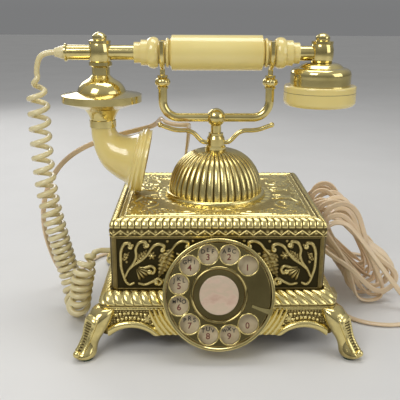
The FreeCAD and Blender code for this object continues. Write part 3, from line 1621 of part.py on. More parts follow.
hank_entry = hank_points[0] - hank_headings[0] * ENTRY_RUN
line_start = tuple(float(c) for c in (d.line_exit_x, frame_y + d.grommet_flange, d.line_exit_z))
LINE_ROUTE = [
    line_start, (-18, 96, 28), (-20, 109, 38), (-21, 107, 62), (-23, 97, 86), (-25, 82, 103), (-26, 62, 111),
    (-25, 42, 122), (-23, 24, 138), (-21.5, 9, 155.5), (-22.5, -6, 159.6), (-33, -15, 161), (-42, -13, 163.5),
    (-43.5, 8, 163.2), (-51, 37, 151), (-75, 39, 145), (-98, 35, 139), (-118, 29, 131), (-133, 25, 119),
    (-143, 23, 103), (-149, 22, 84), (-150, 22.5, 64), (-147, 25, 42), (-142, 31, 20), (-135, 43, 5),
    (-130, 62, 2.2), (-125, 88, 1.9), (-112, 112, 1.9), (-86, 125, 1.9), (-50, 128, 1.9), (0, 124, 1.9),
    (50, 127, 1.9), (95, 124, 1.9), (135, 117, 1.9), (161, 108, 1.9), (174, 92, 1.9), (163, 78, 2.2),
    tuple(hank_entry), tuple(hank_points[0]),
]
line_edges, line_radii = rounded_path(LINE_ROUTE)
line_form = tube_along(line_edges, line_radius)
print("line cord: bend radii " + " ".join("%.0f" % r for r in line_radii))
check_volume("line cord", line_form, line_edges, line_radius)
node(formed("line", line_form), "line_cord")

tail_start = hank_points[-1] + hank_headings[-1] * TAIL_RUN
TAIL_ROUTE = [
    tuple(hank_points[-1]), tuple(tail_start), (172, -22, 2.6), (164, -38, 1.9), (146, -45, 1.9),
    (124, -41, 1.9), (109, -28, 1.9), (105, -12, 2.8), (105, 4, 3.5),
]
tail_edges, tail_radii = rounded_path(TAIL_ROUTE)
hank_edges = biarcs(hank_points, hank_headings) + tail_edges
hank_form = tube_along(hank_edges, line_radius)
print("hank tail: bend radii " + " ".join("%.0f" % r for r in tail_radii))
check_volume("hank", hank_form, hank_edges, line_radius)
check_gap("hank", fine_points(hank_edges, HANK_STEP), d.line_wire.value, HANK_SKIP)
node(formed("hank", hank_form), "line_hank")

plug_end = TAIL_ROUTE[-1]
node(box("plug", (plug_end[0] - d.plug_width / 2, plug_end[1], 0),
         (d.plug_width, d.plug_length, d.plug_height)), "line_plug")

# Check every object, then write each node's shape

doc.recompute()
faults = [o.Label for o in doc.Objects if any(w in o.State for w in ("Invalid", "Error", "Touched"))]
for piece in nodes:
    shape = piece.Shape
    if shape.isNull() or not shape.isValid() or not shape.Solids:
        faults.append(piece.Label)
if faults:
    raise SystemExit("faults: " + ", ".join(faults))

os.makedirs("parts", exist_ok=True)
for piece in nodes:
    piece.Shape.exportStep("parts/%s.step" % piece.Label)
print("%d nodes written" % len(nodes))
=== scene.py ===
"""Looks of a gilt parlour telephone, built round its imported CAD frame.

Lengths in this file are millimetres about the casket's middle, +Z up, with the dial facing -Y; make_piece
turns them into the frame's metres. The cast ornament is worked out as height fields on grids.
"""
import math

import bmesh
import bpy
import numpy as np
from mathutils import Matrix, Vector


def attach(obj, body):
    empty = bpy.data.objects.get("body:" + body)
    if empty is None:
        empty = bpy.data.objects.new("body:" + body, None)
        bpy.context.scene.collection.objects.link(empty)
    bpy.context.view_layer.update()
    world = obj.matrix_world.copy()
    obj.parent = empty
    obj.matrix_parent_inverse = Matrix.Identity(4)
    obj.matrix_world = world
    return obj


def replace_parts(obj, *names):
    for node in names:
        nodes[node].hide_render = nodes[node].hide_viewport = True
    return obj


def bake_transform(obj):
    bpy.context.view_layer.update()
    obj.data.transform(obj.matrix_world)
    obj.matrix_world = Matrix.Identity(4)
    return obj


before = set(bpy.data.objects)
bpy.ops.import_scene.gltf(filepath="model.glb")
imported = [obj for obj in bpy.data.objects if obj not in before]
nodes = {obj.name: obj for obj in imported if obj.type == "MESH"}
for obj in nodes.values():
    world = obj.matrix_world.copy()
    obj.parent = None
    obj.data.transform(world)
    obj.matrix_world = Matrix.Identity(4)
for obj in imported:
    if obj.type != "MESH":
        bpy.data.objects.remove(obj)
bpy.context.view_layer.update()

MM = 0.001
MID = 5.8          # the casket's middle plane, right of the frame's origin

# Main sizes, as the solids have them
HALF_X, HALF_Y = 79.0, 70.0
FLARE = 9.0        # how far the base frame stands out from the casket
Z_SKIRT, Z_FLARE, Z_BOX, Z_LID, Z_TOP, Z_DOME = 14.0, 37.0, 46.0, 89.0, 101.0, 105.0
LID_OUT, LID_ROUND = 0.4, 6.5
DIAL_CENTRE = np.array([0.0, -87.0, 50.0])
DIAL_TILT = math.radians(17)
DIAL_UP = np.array([0.0, math.sin(DIAL_TILT), math.cos(DIAL_TILT)])
DIAL_OUT = np.array([0.0, -math.cos(DIAL_TILT), math.sin(DIAL_TILT)])
CUP_RADIUS, CUP_RIM, CUP_TAPER = 41.0, 6.0, 8.0 / 32.0


# Meshes


SHARP_ANGLE = math.radians(50)


def add_object(name, data):
    """A new object in the scene."""
    thing = bpy.data.objects.new(name, data)
    bpy.context.scene.collection.objects.link(thing)
    return thing


def metres(points):
    """Millimetres about the casket's middle, as metres in the frame."""
    return (np.asarray(points, float) + (MID, 0, 0)) * MM


def grid_quads(rows, cols, wrap_rows=False, wrap_cols=False):
    """Corners of the quads between neighbouring points of a grid, closed on itself where asked."""
    index = np.arange(rows * cols).reshape(rows, cols)
    if wrap_rows:
        index = np.concatenate([index, index[:1]])
    if wrap_cols:
        index = np.concatenate([index, index[:, :1]], axis=1)
    corners = [index[:-1, :-1], index[:-1, 1:], index[1:, 1:], index[1:, :-1]]
    return np.stack(corners, -1).reshape(-1, 4)


def make_piece(name, points, quads, body, finish, relief=None, caps=()):
    """A closed mesh of points, quads and many-sided caps; relief is each point's height, 0 deep to 1 high."""
    points = np.asarray(points, float).reshape(-1, 3)
    sizes = np.concatenate([np.full(len(quads), 4), np.array([len(c) for c in caps], int)])
    corners = np.concatenate([np.asarray(quads).ravel(), *[np.asarray(c).ravel() for c in caps]])
    mesh = bpy.data.meshes.new(name)
    mesh.vertices.add(len(points))
    mesh.vertices.foreach_set("co", metres(points).astype(np.float32).ravel())
    mesh.loops.add(len(corners))
    mesh.loops.foreach_set("vertex_index", corners.astype(np.int32))
    mesh.polygons.add(len(sizes))
    mesh.polygons.foreach_set("loop_start", (np.cumsum(sizes) - sizes).astype(np.int32))
    mesh.update(calc_edges=True)
    mesh.validate()
    if relief is not None:
        worn = mesh.attributes.new("relief", "FLOAT", "POINT")
        worn.data.foreach_set("value", np.asarray(relief, np.float32).ravel())
    shell = bmesh.new()
    shell.from_mesh(mesh)
    bmesh.ops.recalc_face_normals(shell, faces=shell.faces)
    shell.to_mesh(mesh)
    shell.free()
    mesh.shade_smooth()
    mesh.set_sharp_from_angle(angle=SHARP_ANGLE)
    piece = add_object(name, mesh)
    mesh.materials.append(finish)
    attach(piece, body)
    return piece


def edge_of(rows, cols):
    """Numbers of a grid's edge points, once round."""
    index = np.arange(rows * cols).reshape(rows, cols)
    return np.concatenate([index[0, :-1], index[:-1, -1], index[-1, :0:-1], index[:0:-1, 0]])


def walls_between(rim, low):
    """Quads from one closed row of points down to another."""
    return np.stack([rim, low, np.roll(low, -1), np.roll(rim, -1)], -1)


def make_slab(name, top, drop, finish, relief):
    """A relief: a grid of top points, walls that fall by drop all round it, and one flat face underneath."""
    rows, cols = top.shape[:2]
    rim = edge_of(rows, cols)
    low = rows * cols + np.arange(len(rim))
    flat = top.reshape(-1, 3)
    points = np.concatenate([flat, drop(flat[rim])])
    worn = np.concatenate([np.ravel(relief), np.zeros(len(rim))])
    quads = np.concatenate([grid_quads(rows, cols), walls_between(rim, low)])
    make_piece(name, points, quads, "base", finish, worn, [low[::-1]])


def make_shell(name, top, base, finish, relief):
    """A relief over a curved face: a grid of top points, the same grid sunk below, and walls between."""
    rows, cols = top.shape[:2]
    count = rows * cols
    rim = edge_of(rows, cols)
    faces = grid_quads(rows, cols)
    quads = np.concatenate([faces, faces[:, ::-1] + count, walls_between(rim, rim + count)])
    points = np.concatenate([top.reshape(-1, 3), base.reshape(-1, 3)])
    worn = np.concatenate([np.ravel(relief), np.zeros(count)])
    make_piece(name, points, quads, "base", finish, worn)


def smooth(share):
    """An eased step from nought to one: three times the share squared, less twice its cube."""
    share = np.clip(share, 0, 1)
    return share * share * (3 - 2 * share)


def hump(share):
    """The height of a half round: one in its middle, nought at a share of one either side."""
    return np.sqrt(np.clip(1 - share ** 2, 0, 1))


def circle(count):
    """Angles once round."""
    return np.linspace(0, 2 * np.pi, count, endpoint=False)


def along(points, spots):
    """Points at given distances along a line of points."""
    steps = np.linalg.norm(np.diff(points, axis=0), axis=1)
    run = np.concatenate([[0], np.cumsum(steps)])
    return np.stack([np.interp(spots, run, points[:, k]) for k in range(3)], -1)


def flow(points, count):
    """A smooth line through every point: Catmull-Rom cubics with count samples a span."""
    p = np.asarray(points, float)
    p = np.concatenate([2 * p[:1] - p[1:2], p, 2 * p[-1:] - p[-2:-1]])
    t = np.linspace(0, 1, count, endpoint=False)[None, :, None]
    a, b, c, d = p[:-3, None], p[1:-2, None], p[2:-1, None], p[3:, None]
    q = 0.5 * (2 * b + (c - a) * t + (2 * a - 5 * b + 4 * c - d) * t ** 2 + (3 * b - a - 3 * c + d) * t ** 3)
    return np.concatenate([q.reshape(-1, p.shape[1]), p[-2:-1]])


def length_of(points):
    """The sum of the steps along a line of points."""
    return float(np.linalg.norm(np.diff(points, axis=0), axis=1).sum())


def unit(v):
    """Vectors divided by their own length."""
    return v / np.maximum(np.linalg.norm(v, axis=-1, keepdims=True), 1e-12)


def steady_frame(points, hint):
    """Tangents and two cross directions that turn about the line as little as they can."""
    way = unit(np.gradient(points, axis=0))
    side = unit(np.cross(way, hint))
    other = np.cross(way, side)
    twist = np.concatenate([[0], np.cumsum(np.sum(np.diff(side, axis=0) * other[:-1], axis=1))])
    c, s = np.cos(-twist)[:, None], np.sin(-twist)[:, None]
    return way, side * c + other * s, other * c - side * s


def tube(line, side, other, profile):
    """A closed profile of (across, up) carried along a line on its two cross directions; grid of rings."""
    return line[:, None] + side[:, None] * profile[:, :, :1] + other[:, None] * profile[:, :, 1:]


def capped(name, rings, body, finish):
    """A tube of rings with both ends closed."""
    rows, cols = rings.shape[:2]
    index = np.arange(rows * cols).reshape(rows, cols)
    quads = grid_quads(rows, cols, wrap_cols=True)
    return make_piece(name, rings, quads, body, finish, caps=[index[0][::-1], index[-1]])


# Finishes


class Finish:
    """A material of one principled shader, with short calls for its nodes."""

    def __init__(self, name, **sockets):
        self.material = bpy.data.materials.new(name)
        self.material.use_nodes = True
        self.tree = self.material.node_tree
        self.shader = self.tree.nodes["Principled BSDF"]
        for socket, value in sockets.items():
            self.shader.inputs[socket.replace("_", " ")].default_value = value

    def add(self, kind, **settings):
        node = self.tree.nodes.new("ShaderNode" + kind)
        for key, value in settings.items():
            setattr(node, key, value)
        return node

    def link(self, out, into):
        self.tree.links.new(out, into)

    def noise(self, scale, detail=3.0, rough=0.55, stretch=(1, 1, 1)):
        """Noise on object coordinates; scale counts per metre."""
        place = self.add("TexCoord")
        shape = self.add("Mapping")
        shape.inputs["Scale"].default_value = stretch
        field = self.add("TexNoise")
        field.inputs["Scale"].default_value = scale
        field.inputs["Detail"].default_value = detail
        field.inputs["Roughness"].default_value = rough
        self.link(place.outputs["Object"], shape.inputs["Vector"])
        self.link(shape.outputs["Vector"], field.inputs["Vector"])
        return field.outputs["Fac"]

    def attribute(self, name):
        return self.add("Attribute", attribute_name=name).outputs["Fac"]

    def math(self, operation, a, b):
        node = self.add("Math", operation=operation)
        for value, socket in zip((a, b), node.inputs):
            if isinstance(value, (int, float)):
                socket.default_value = value
            else:
                self.link(value, socket)
        return node.outputs[0]

    def ramp(self, value, *stops):
        node = self.add("ValToRGB")
        while len(node.color_ramp.elements) < len(stops):
            node.color_ramp.elements.new(0.5)
        for element, (spot, colour) in zip(node.color_ramp.elements, stops):
            element.position = spot
            element.color = (*colour, 1.0)
        self.link(value, node.inputs["Fac"])
        return node.outputs["Color"]

    def spread(self, value, low, high):
        node = self.add("MapRange")
        node.inputs["To Min"].default_value = low
        node.inputs["To Max"].default_value = high
        self.link(value, node.inputs["Value"])
        return node.outputs["Result"]

    def colour(self, out):
        self.link(out, self.shader.inputs["Base Color"])

    def rough(self, out):
        self.link(out, self.shader.inputs["Roughness"])

    def bump(self, height, distance, strength=1.0):
        node = self.add("Bump")
        node.inputs["Strength"].default_value = strength
        node.inputs["Distance"].default_value = distance
        self.link(height, node.inputs["Height"])
        self.link(node.outputs["Normal"], self.shader.inputs["Normal"])


BRASS_BRIGHT = (0.80, 0.67, 0.285)
BRASS_MID = (0.58, 0.46, 0.165)
BRASS_DEEP = (0.28, 0.21, 0.075)
# BRASS_WHEEL and BRASS_SHADED are painted shade: polished brass darkened for the finger wheel and centre dish
BRASS_WHEEL = (0.30, 0.24, 0.090)
BRASS_SHADED = (0.20, 0.155, 0.052)
BRASS_AGED = (0.15, 0.115, 0.042)
PATINA = (0.050, 0.040, 0.016)


def polished_brass(name, deep, bright):
    """Lacquered brass: faint cloudy colour, soft wipe marks and slow waves in the surface."""
    f = Finish(name, Metallic=1.0, Coat_Weight=0.25, Coat_Roughness=0.08)
    cloud = f.noise(45, 4)
    f.colour(f.ramp(cloud, (0.25, deep), (0.6, bright)))
    f.rough(f.spread(f.noise(160, 5, 0.65), 0.06, 0.22))
    f.bump(f.noise(55, 2), 0.0006, 0.25)
    return f.material


def cast_brass(name, low, high):
    """Antiqued casting: its height field sets how much dark patina is left, with noise on the border."""
    f = Finish(name, Metallic=1.0)
    worn = f.math("ADD", f.attribute("relief"), f.math("MULTIPLY", f.noise(600, 4), 0.34))
    worn = f.math("SUBTRACT", worn, 0.17)
    f.colour(f.ramp(worn, (low, PATINA), ((low + high) / 2, BRASS_DEEP), (high, BRASS_BRIGHT)))
    f.rough(f.ramp(worn, (low, (0.62, 0.62, 0.62)), (high, (0.20, 0.20, 0.20))))
    f.bump(f.noise(1500, 3), 0.0002, 0.35)
    return f.material


def plain_cast(name, deep, bright):
    """Plain grounds and borders of a casting: brass with cloudy tarnish between two tones."""
    f = Finish(name, Metallic=1.0)
    cloud = f.noise(130, 5, 0.65)
    f.colour(f.ramp(cloud, (0.30, deep), (0.70, bright)))
    f.rough(f.spread(cloud, 0.42, 0.22))
    f.bump(f.noise(900, 3), 0.0002, 0.3)
    return f.material


def ivory(name, pale, deep, rough):
    """Yellowed moulded plastic: slow drift of colour, fine specks, and a clear gloss."""
    f = Finish(name, Coat_Weight=0.7, Coat_Roughness=0.06, IOR=1.5, Subsurface_Weight=0.08,
               Subsurface_Radius=(0.004, 0.003, 0.0015), Subsurface_Scale=0.5)
    drift = f.noise(16, 2, 0.5)
    f.colour(f.ramp(drift, (0.3, deep), (0.62, pale)))
    f.rough(f.spread(f.noise(420, 4), rough - 0.03, rough + 0.04))
    f.bump(f.noise(70, 1), 0.0003, 0.05)
    return f.material


def pearl():
    """Shell disc: soft bands of pink and green cream under gloss."""
    f = Finish("pearl", Coat_Weight=0.8, Coat_Roughness=0.06, Sheen_Weight=0.3)
    bands = f.noise(70, 3, 0.5, (1, 2.0, 2.0))
    f.colour(f.ramp(bands, (0.30, (0.56, 0.37, 0.27)), (0.45, (0.64, 0.47, 0.34)), (0.55, (0.58, 0.46, 0.32)),
                    (0.70, (0.66, 0.48, 0.35))))
    f.rough(f.spread(bands, 0.14, 0.3))
    return f.material


def printed_card():
    """Pale dial card: faint mottling, satin."""
    f = Finish("dial card", Coat_Weight=0.3)
    f.colour(f.ramp(f.noise(300, 4), (0.3, (0.72, 0.58, 0.35)), (0.7, (0.82, 0.69, 0.45))))
    f.rough(f.spread(f.noise(800, 2), 0.32, 0.46))
    return f.material


def ink(name, colour):
    """Printed ink: fine mottling between a colour and a darker share of it."""
    f = Finish(name)
    f.colour(f.ramp(f.noise(2500, 3), (0.2, tuple(0.7 * c for c in colour)), (0.8, colour)))
    f.rough(f.spread(f.noise(2000, 2), 0.38, 0.55))
    return f.material


def matt(name, dark, light, scale, rough, grain, metallic=0.0):
    """A plain surface of two tones with its own grain."""
    f = Finish(name, Metallic=metallic)
    field = f.noise(scale, 5, 0.65)
    f.colour(f.ramp(field, (0.3, dark), (0.7, light)))
    f.rough(f.spread(field, rough + 0.08, rough - 0.08))
    f.bump(field, grain, 0.6)
    return f.material


WIRES_A_METRE = 900


def copper_winding():
    """Coil of fine wire: close bands along the spool."""
    f = Finish("copper winding", Metallic=1.0, Roughness=0.35)
    place = f.add("TexCoord")
    bands = f.add("TexWave", wave_type="BANDS", bands_direction="X")
    bands.inputs["Scale"].default_value = WIRES_A_METRE
    f.link(place.outputs["Object"], bands.inputs["Vector"])
    f.colour(f.ramp(bands.outputs["Fac"], (0.1, (0.20, 0.06, 0.02)), (0.7, (0.72, 0.32, 0.13))))
    f.bump(bands.outputs["Fac"], 0.0002)
    return f.material


POLISHED = polished_brass("polished brass", BRASS_MID, BRASS_BRIGHT)
LEG_BRASS = polished_brass("leg brass", BRASS_DEEP, BRASS_BRIGHT)
# Painted shade: a darkened copy of polished brass, used on the finger wheel and centre dish
SHADED_POLISHED = polished_brass("polished brass in painted shade", BRASS_SHADED, BRASS_WHEEL)
CAST = cast_brass("cast brass", 0.02, 0.75)
CAST_DARK = cast_brass("dark cast brass", 0.05, 1.10)
CAST_PALE = cast_brass("pale cast brass", -0.55, 0.50)
RIBBED = cast_brass("ribbed brass", -0.05, 0.45)
PLAIN_CAST = plain_cast("tarnished brass", BRASS_MID, BRASS_BRIGHT)
AGED = plain_cast("aged brass", BRASS_AGED, BRASS_DEEP)
IVORY = ivory("ivory", (0.86, 0.71, 0.27), (0.80, 0.63, 0.205), 0.20)
CORD_IVORY = ivory("ivory cord", (0.80, 0.70, 0.39), (0.73, 0.61, 0.30), 0.34)
CORD_CREAM = ivory("cream cord", (0.82, 0.65, 0.42), (0.71, 0.52, 0.32), 0.40)
PEARL = pearl()
CARD = printed_card()
RED_INK = ink("red ink", (0.24, 0.03, 0.02))
BLACK_INK = ink("black ink", (0.012, 0.012, 0.012))
DARK = matt("dark lacquer", (0.010, 0.009, 0.008), (0.03, 0.027, 0.022), 300, 0.45, 0.0001)
BOARD = matt("base board", (0.03, 0.022, 0.015), (0.07, 0.05, 0.035), 180, 0.7, 0.0003)
FELT = matt("green felt", (0.02, 0.05, 0.025), (0.05, 0.10, 0.05), 1800, 0.9, 0.0005)
STEEL = matt("bright steel", (0.42, 0.42, 0.43), (0.62, 0.62, 0.63), 400, 0.3, 0.0001, 1.0)
BAKELITE = matt("brown bakelite", (0.025, 0.010, 0.006), (0.06, 0.022, 0.012), 220, 0.35, 0.0001)
COPPER = copper_winding()

NODE_FINISHES = [
    (POLISHED, ["dial_cup", "dial_bezel", "collar", "horn_left", "horn_right", "cradle_post", "yoke",
                "fork_left", "fork_right", "finger_stop", "handle_tube", "transmitter_tee", "receiver_tee",
                "finials", "transmitter_bell", "transmitter_cone", "receiver_cup", "dome"]),
    (SHADED_POLISHED, ["finger_wheel", "centre_dish"]),
    (AGED, ["base_frame", "casket_shell"]),
    (LEG_BRASS, ["leg_front_right", "leg_front_left", "leg_rear_right", "leg_rear_left"]),
    (PLAIN_CAST, ["lid", "gongs", "collar_nut"]),
    (IVORY, ["grip", "ferrule_left", "ferrule_right", "mouthpiece", "receiver_cap"]),
    (CORD_IVORY, ["cord_boot", "cord_grommets", "line_plug"]),
    (PEARL, ["centre_button"]),
    (CARD, ["number_plate"]),
    (DARK, ["transmitter_capsule", "receiver_capsule"]),
    (BOARD, ["base_plate"]),
    (FELT, ["foot_pads"]),
    (STEEL, ["base_screws", "switch_lever", "switch_bracket", "plunger_spring", "dial_plate", "rear_bridge",
             "spring_barrel", "main_gear", "dial_shaft", "governor", "ringer_frame", "clapper"]),
    (BAKELITE, ["network_block"]),
    (COPPER, ["ringer_coil"]),
]


def dress_nodes():
    """Each solid's own finish."""
    for finish, names in NODE_FINISHES:
        for name in names:
            nodes[name].data.materials.clear()
            nodes[name].data.materials.append(finish)


# Camera, lights and floor, at the photograph's viewing angle


CAMERA_SPOT = (-20.6, -494.7, 247.0)
CAMERA_PITCH, CAMERA_YAW, CAMERA_ROLL = math.radians(17.07), math.radians(0.85), math.radians(0.25)
LENS, SENSOR = 55.73, 36.0
CLIP_NEAR, CLIP_FAR = 0.01, 20   # metres


def add_camera():
    """The camera, tipped down by its pitch, with a little yaw and roll."""
    view = bpy.data.cameras.new("camera")
    view.lens, view.sensor_width = LENS, SENSOR
    view.clip_start, view.clip_end = CLIP_NEAR, CLIP_FAR
    camera = add_object("camera", view)
    camera.location = metres(CAMERA_SPOT)
    camera.rotation_euler = (math.pi / 2 - CAMERA_PITCH, -CAMERA_ROLL, -CAMERA_YAW)
    bpy.context.scene.camera = camera
    bpy.context.scene.view_settings.view_transform = "Standard"


LAMPS = [
    # name, place in metres, aim in metres, width, height, watts
    ("key", (-0.55, -0.75, 0.95), (0, 0, 0.10), 0.55, 0.55, 5.4),
    ("fill", (0.95, -0.55, 0.55), (0, 0, 0.10), 0.7, 0.7, 2.6),
    ("top", (0.05, 0.15, 1.20), (0, 0, 0.10), 0.8, 0.5, 4.8),
    ("rim", (-0.5, 0.95, 0.6), (0, 0, 0.12), 0.5, 0.5, 2.6),
]


def add_lights():
    """Soft boxes round the object."""
    for name, spot, aim, width, height, watts in LAMPS:
        lamp = bpy.data.lights.new(name, "AREA")
        lamp.shape, lamp.size, lamp.size_y, lamp.energy = "RECTANGLE", width, height, watts
        box = add_object(name, lamp)
        box.location = spot
        box.rotation_euler = (Vector(aim) - Vector(spot)).to_track_quat("-Z", "Y").to_euler()


ROOM_COLOUR = (0.98, 0.99, 1.0, 1.0)
ROOM_LIGHT, ROOM_LOW, ROOM_HIGH, ROOM_RISE = 0.32, 0.20, 0.50, 0.75


def add_room():
    """An even pale light; but the camera and shiny surfaces see a room that is darker low down."""
    world = bpy.data.worlds.new("room")
    bpy.context.scene.world = world
    world.use_nodes = True
    tree = world.node_tree
    kinds = ("LightPath", "Math", "Math", "TexCoord", "SeparateXYZ", "MapRange", "Mix")
    rays, seen, both, place, split, rise, level = [tree.nodes.new("ShaderNode" + kind) for kind in kinds]
    sky = tree.nodes["Background"]
    sky.inputs["Color"].default_value = ROOM_COLOUR
    seen.operation = both.operation = "MAXIMUM"
    for socket, value in (("From Max", ROOM_RISE), ("To Min", ROOM_LOW), ("To Max", ROOM_HIGH)):
        rise.inputs[socket].default_value = value
    level.inputs["A"].default_value = ROOM_LIGHT
    for out, into in (
        (rays.outputs["Is Camera Ray"], seen.inputs[0]), (rays.outputs["Is Glossy Ray"], seen.inputs[1]),
        (rays.outputs["Is Transmission Ray"], both.inputs[1]), (seen.outputs[0], both.inputs[0]),
        (place.outputs["Generated"], split.inputs[0]), (split.outputs["Z"], rise.inputs["Value"]),
        (rise.outputs["Result"], level.inputs["B"]), (both.outputs[0], level.inputs["Factor"]),
        (level.outputs["Result"], sky.inputs["Strength"]),
    ):
        tree.links.new(out, into)


FLOOR_HALF = 6.0   # metres


def add_floor():
    """A wide pale square at table height."""
    finish = Finish("pale floor", Roughness=0.6)
    finish.colour(finish.ramp(finish.noise(6, 3), (0.3, (0.70, 0.69, 0.67)), (0.7, (0.74, 0.73, 0.71))))
    mesh = bpy.data.meshes.new("floor")
    corners = [(-FLOOR_HALF, -FLOOR_HALF, 0), (FLOOR_HALF, -FLOOR_HALF, 0), (FLOOR_HALF, FLOOR_HALF, 0),
               (-FLOOR_HALF, FLOOR_HALF, 0)]
    mesh.from_pydata(corners, [], [(0, 1, 2, 3)])
    mesh.materials.append(finish.material)
    floor = add_object("floor", mesh)


# Cords


def evened(values, span):
    """Each value's mean with the span of values on either side of it."""
    count = 2 * span + 1
    return np.convolve(np.pad(values, span, mode="edge"), np.ones(count) / count, mode="valid")


def spline_points(route, steps):
    """A smooth line: the NURBS spline of order 3 whose control points are the route's points."""
    curve = bpy.data.curves.new("route", "CURVE")
    curve.dimensions = "3D"
    curve.resolution_u = steps
    spline = curve.splines.new("NURBS")
    spline.points.add(len(route) - 1)
    spline.points.foreach_set("co", np.column_stack([route, np.ones(len(route))]).ravel())
    spline.order_u = 3
    spline.use_endpoint_u = True
    holder = bpy.data.objects.new("route", curve)
    mesh = bpy.data.meshes.new_from_object(holder)
    found = np.zeros(len(mesh.vertices) * 3)
    mesh.vertices.foreach_get("co", found)
    bpy.data.objects.remove(holder)
    return found.reshape(-1, 3)


CURLY_ROUTE = [
    (-126, 0, 215), (-136, 0, 215), (-141, 0, 205), (-141.3, 0, 187), (-141.5, 0.3, 160), (-141, -0.5, 128),
    (-138.5, -2.5, 98), (-133, -5, 72), (-127, -6, 46), (-121.5, -7.1, 21.6), (-119.3, -13.1, 12.8),
    (-115.8, -22.8, 9.4), (-112.2, -32.4, 12.8), (-110, -38.4, 21.6), (-106.5, -39, 44), (-101.5, -37, 57.5),
    (-95.5, -32.5, 63), (-88, -30, 62), (-80, -30, 62),
]
CURLY_PITCH = [(0.0, 13.0), (0.30, 11.5), (0.45, 7.5), (0.55, 5.5), (1.0, 5.5)]
CURLY_WIRE, CURLY_RADIUS = 4.4, 7.0
CURLY_LEAD, CURLY_TAIL, CURLY_RAMP = 24.0, 14.0, 22.0
CURLY_SIDES = 14
TIGHTEST = 0.4     # the least share of its length that the inside of a bend is taken to keep
CURLY_AXIS_STEP, CURLY_STEP = 0.25, 0.9
BEND_SPAN = 40     # axis steps either side over which its bend is evened out


def curly_cord():
    """A helix about the route's spline: its radius fades at both ends, its pitch opens at the top."""
    axis = spline_points(np.array(CURLY_ROUTE, float), 40)
    total = length_of(axis)
    spots = np.linspace(0, total, int(total / CURLY_AXIS_STEP))
    axis = along(axis, spots)
    way, side, other = steady_frame(axis, (0.58, 0.58, 0.58))
    arm = CURLY_RADIUS * np.minimum(smooth((spots - CURLY_LEAD) / CURLY_RAMP),
                                    smooth((total - spots - CURLY_TAIL) / CURLY_RAMP))
    bend = np.linalg.norm(np.gradient(way, spots, axis=0), axis=1)
    bend = evened(bend, BEND_SPAN)
    shares, pitches = np.array(CURLY_PITCH).T
    pitch = np.interp(spots / total, shares, pitches) / np.maximum(1 - arm * bend, TIGHTEST)
    turn = np.concatenate([[0], np.cumsum(2 * np.pi * np.diff(spots) / pitch[1:])])
    radial = side * np.cos(turn)[:, None] + other * np.sin(turn)[:, None]
    wound = axis + radial * arm[:, None]
    line = along(wound, np.linspace(0, length_of(wound), int(length_of(wound) / CURLY_STEP)))
    _, left, up = steady_frame(line, (0.31, 0.52, 0.79))
    ring = circle(CURLY_SIDES)
    profile = np.stack([np.cos(ring), np.sin(ring)], -1)[None] * (CURLY_WIRE / 2)
    cord = capped("handset_cord", tube(line, left, up, profile), "base", CORD_IVORY)
    cord.parent = None
    return cord, line


LINE_ROUTE = [
    (-18, 81, 28), (-18, 96, 28), (-20, 109, 38), (-21, 107, 62), (-23, 97, 86), (-25, 82, 103),
    (-26, 62, 111), (-25, 42, 122), (-23, 24, 138), (-21.5, 9, 155.5), (-22.5, -6, 159.6), (-33, -15, 161),
    (-42, -13, 163.5), (-43.5, 8, 163.2), (-51, 37, 151), (-75, 39, 145), (-98, 35, 139), (-118, 29, 131),
    (-133, 25, 119), (-143, 23, 103), (-149, 22, 84), (-150, 22.5, 64), (-147, 25, 42), (-142, 31, 20),
    (-135, 43, 5), (-130, 62, 2.2), (-125, 88, 1.9), (-112, 112, 1.9), (-86, 125, 1.9), (-50, 128, 1.9),
    (0, 124, 1.9), (50, 127, 1.9), (95, 124, 1.9), (135, 117, 1.9), (161, 108, 1.9), (174, 92, 1.9),
    (163, 78, 2.2),
]
TAIL_ROUTE = [
    (172, -22, 2.6), (164, -38, 1.9), (146, -45, 1.9), (124, -41, 1.9), (109, -28, 1.9), (105, -12, 2.8),
    (105, 4, 3.5),
]
HANK_MIDDLE = (122.5, 73.0, 45.4)
HANK_PITCH, HANK_TURNS, HANK_REACH, HANK_WAIST, HANK_SWELL = 5.1, 16, 45.7, 11.0, 16.7
HANK_LEAN, HANK_SWAY, HANK_UNEVEN = 54.0, 15.0, 0.10
SWAY_RATE, UNEVEN_RATE = 2.3, 1.9     # how fast lean and reach drift from turn to turn
HANK_FLOOR, HANK_EASE = 2.0, 4.0
ENTRY_RUN, TAIL_RUN = 42.0, 52.0
POINTS_A_TURN = 16
LINE_WIDTH, LINE_THICK = 4.4, 2.4
LINE_STEP, LINE_SIDES, ROLL_SPAN = 1.6, 16, 8
STEEP = 0.85       # above this upward share, the cord's level side isn't defined
GROOVE_DEPTH, GROOVE_WIDTH = 0.34, 0.28
ROLL_LEAN, ROLL_SWAY, ROLL_RUN, ROLL_EASE = 1.25, 0.5, 47, 10


def hank_spots(turn):
    """Long leaning loops that step to the front, drawn in at the waist and eased on to the table."""
    lean = np.radians(HANK_LEAN + HANK_SWAY * np.sin(SWAY_RATE * turn))[:, None]
    run = np.concatenate([np.cos(lean), 0 * lean, -np.sin(lean)], axis=1)
    cross = np.concatenate([np.sin(lean), 0 * lean, np.cos(lean)], axis=1)
    reach = (HANK_REACH * (1 + HANK_UNEVEN * np.sin(UNEVEN_RATE * turn)))[:, None]
    a = (2 * np.pi * turn)[:, None]
    middle = np.array(HANK_MIDDLE) - turn[:, None] * np.array([0, HANK_PITCH, 0])
    spots = middle - run * reach * np.cos(a) + cross * np.sin(a) * (HANK_WAIST + HANK_SWELL * np.cos(a) ** 2)
    eased = HANK_FLOOR + HANK_EASE * np.exp((spots[:, 2] - HANK_FLOOR - HANK_EASE) / HANK_EASE)
    spots[:, 2] = np.where(spots[:, 2] < HANK_FLOOR + HANK_EASE, eased, spots[:, 2])
    return spots


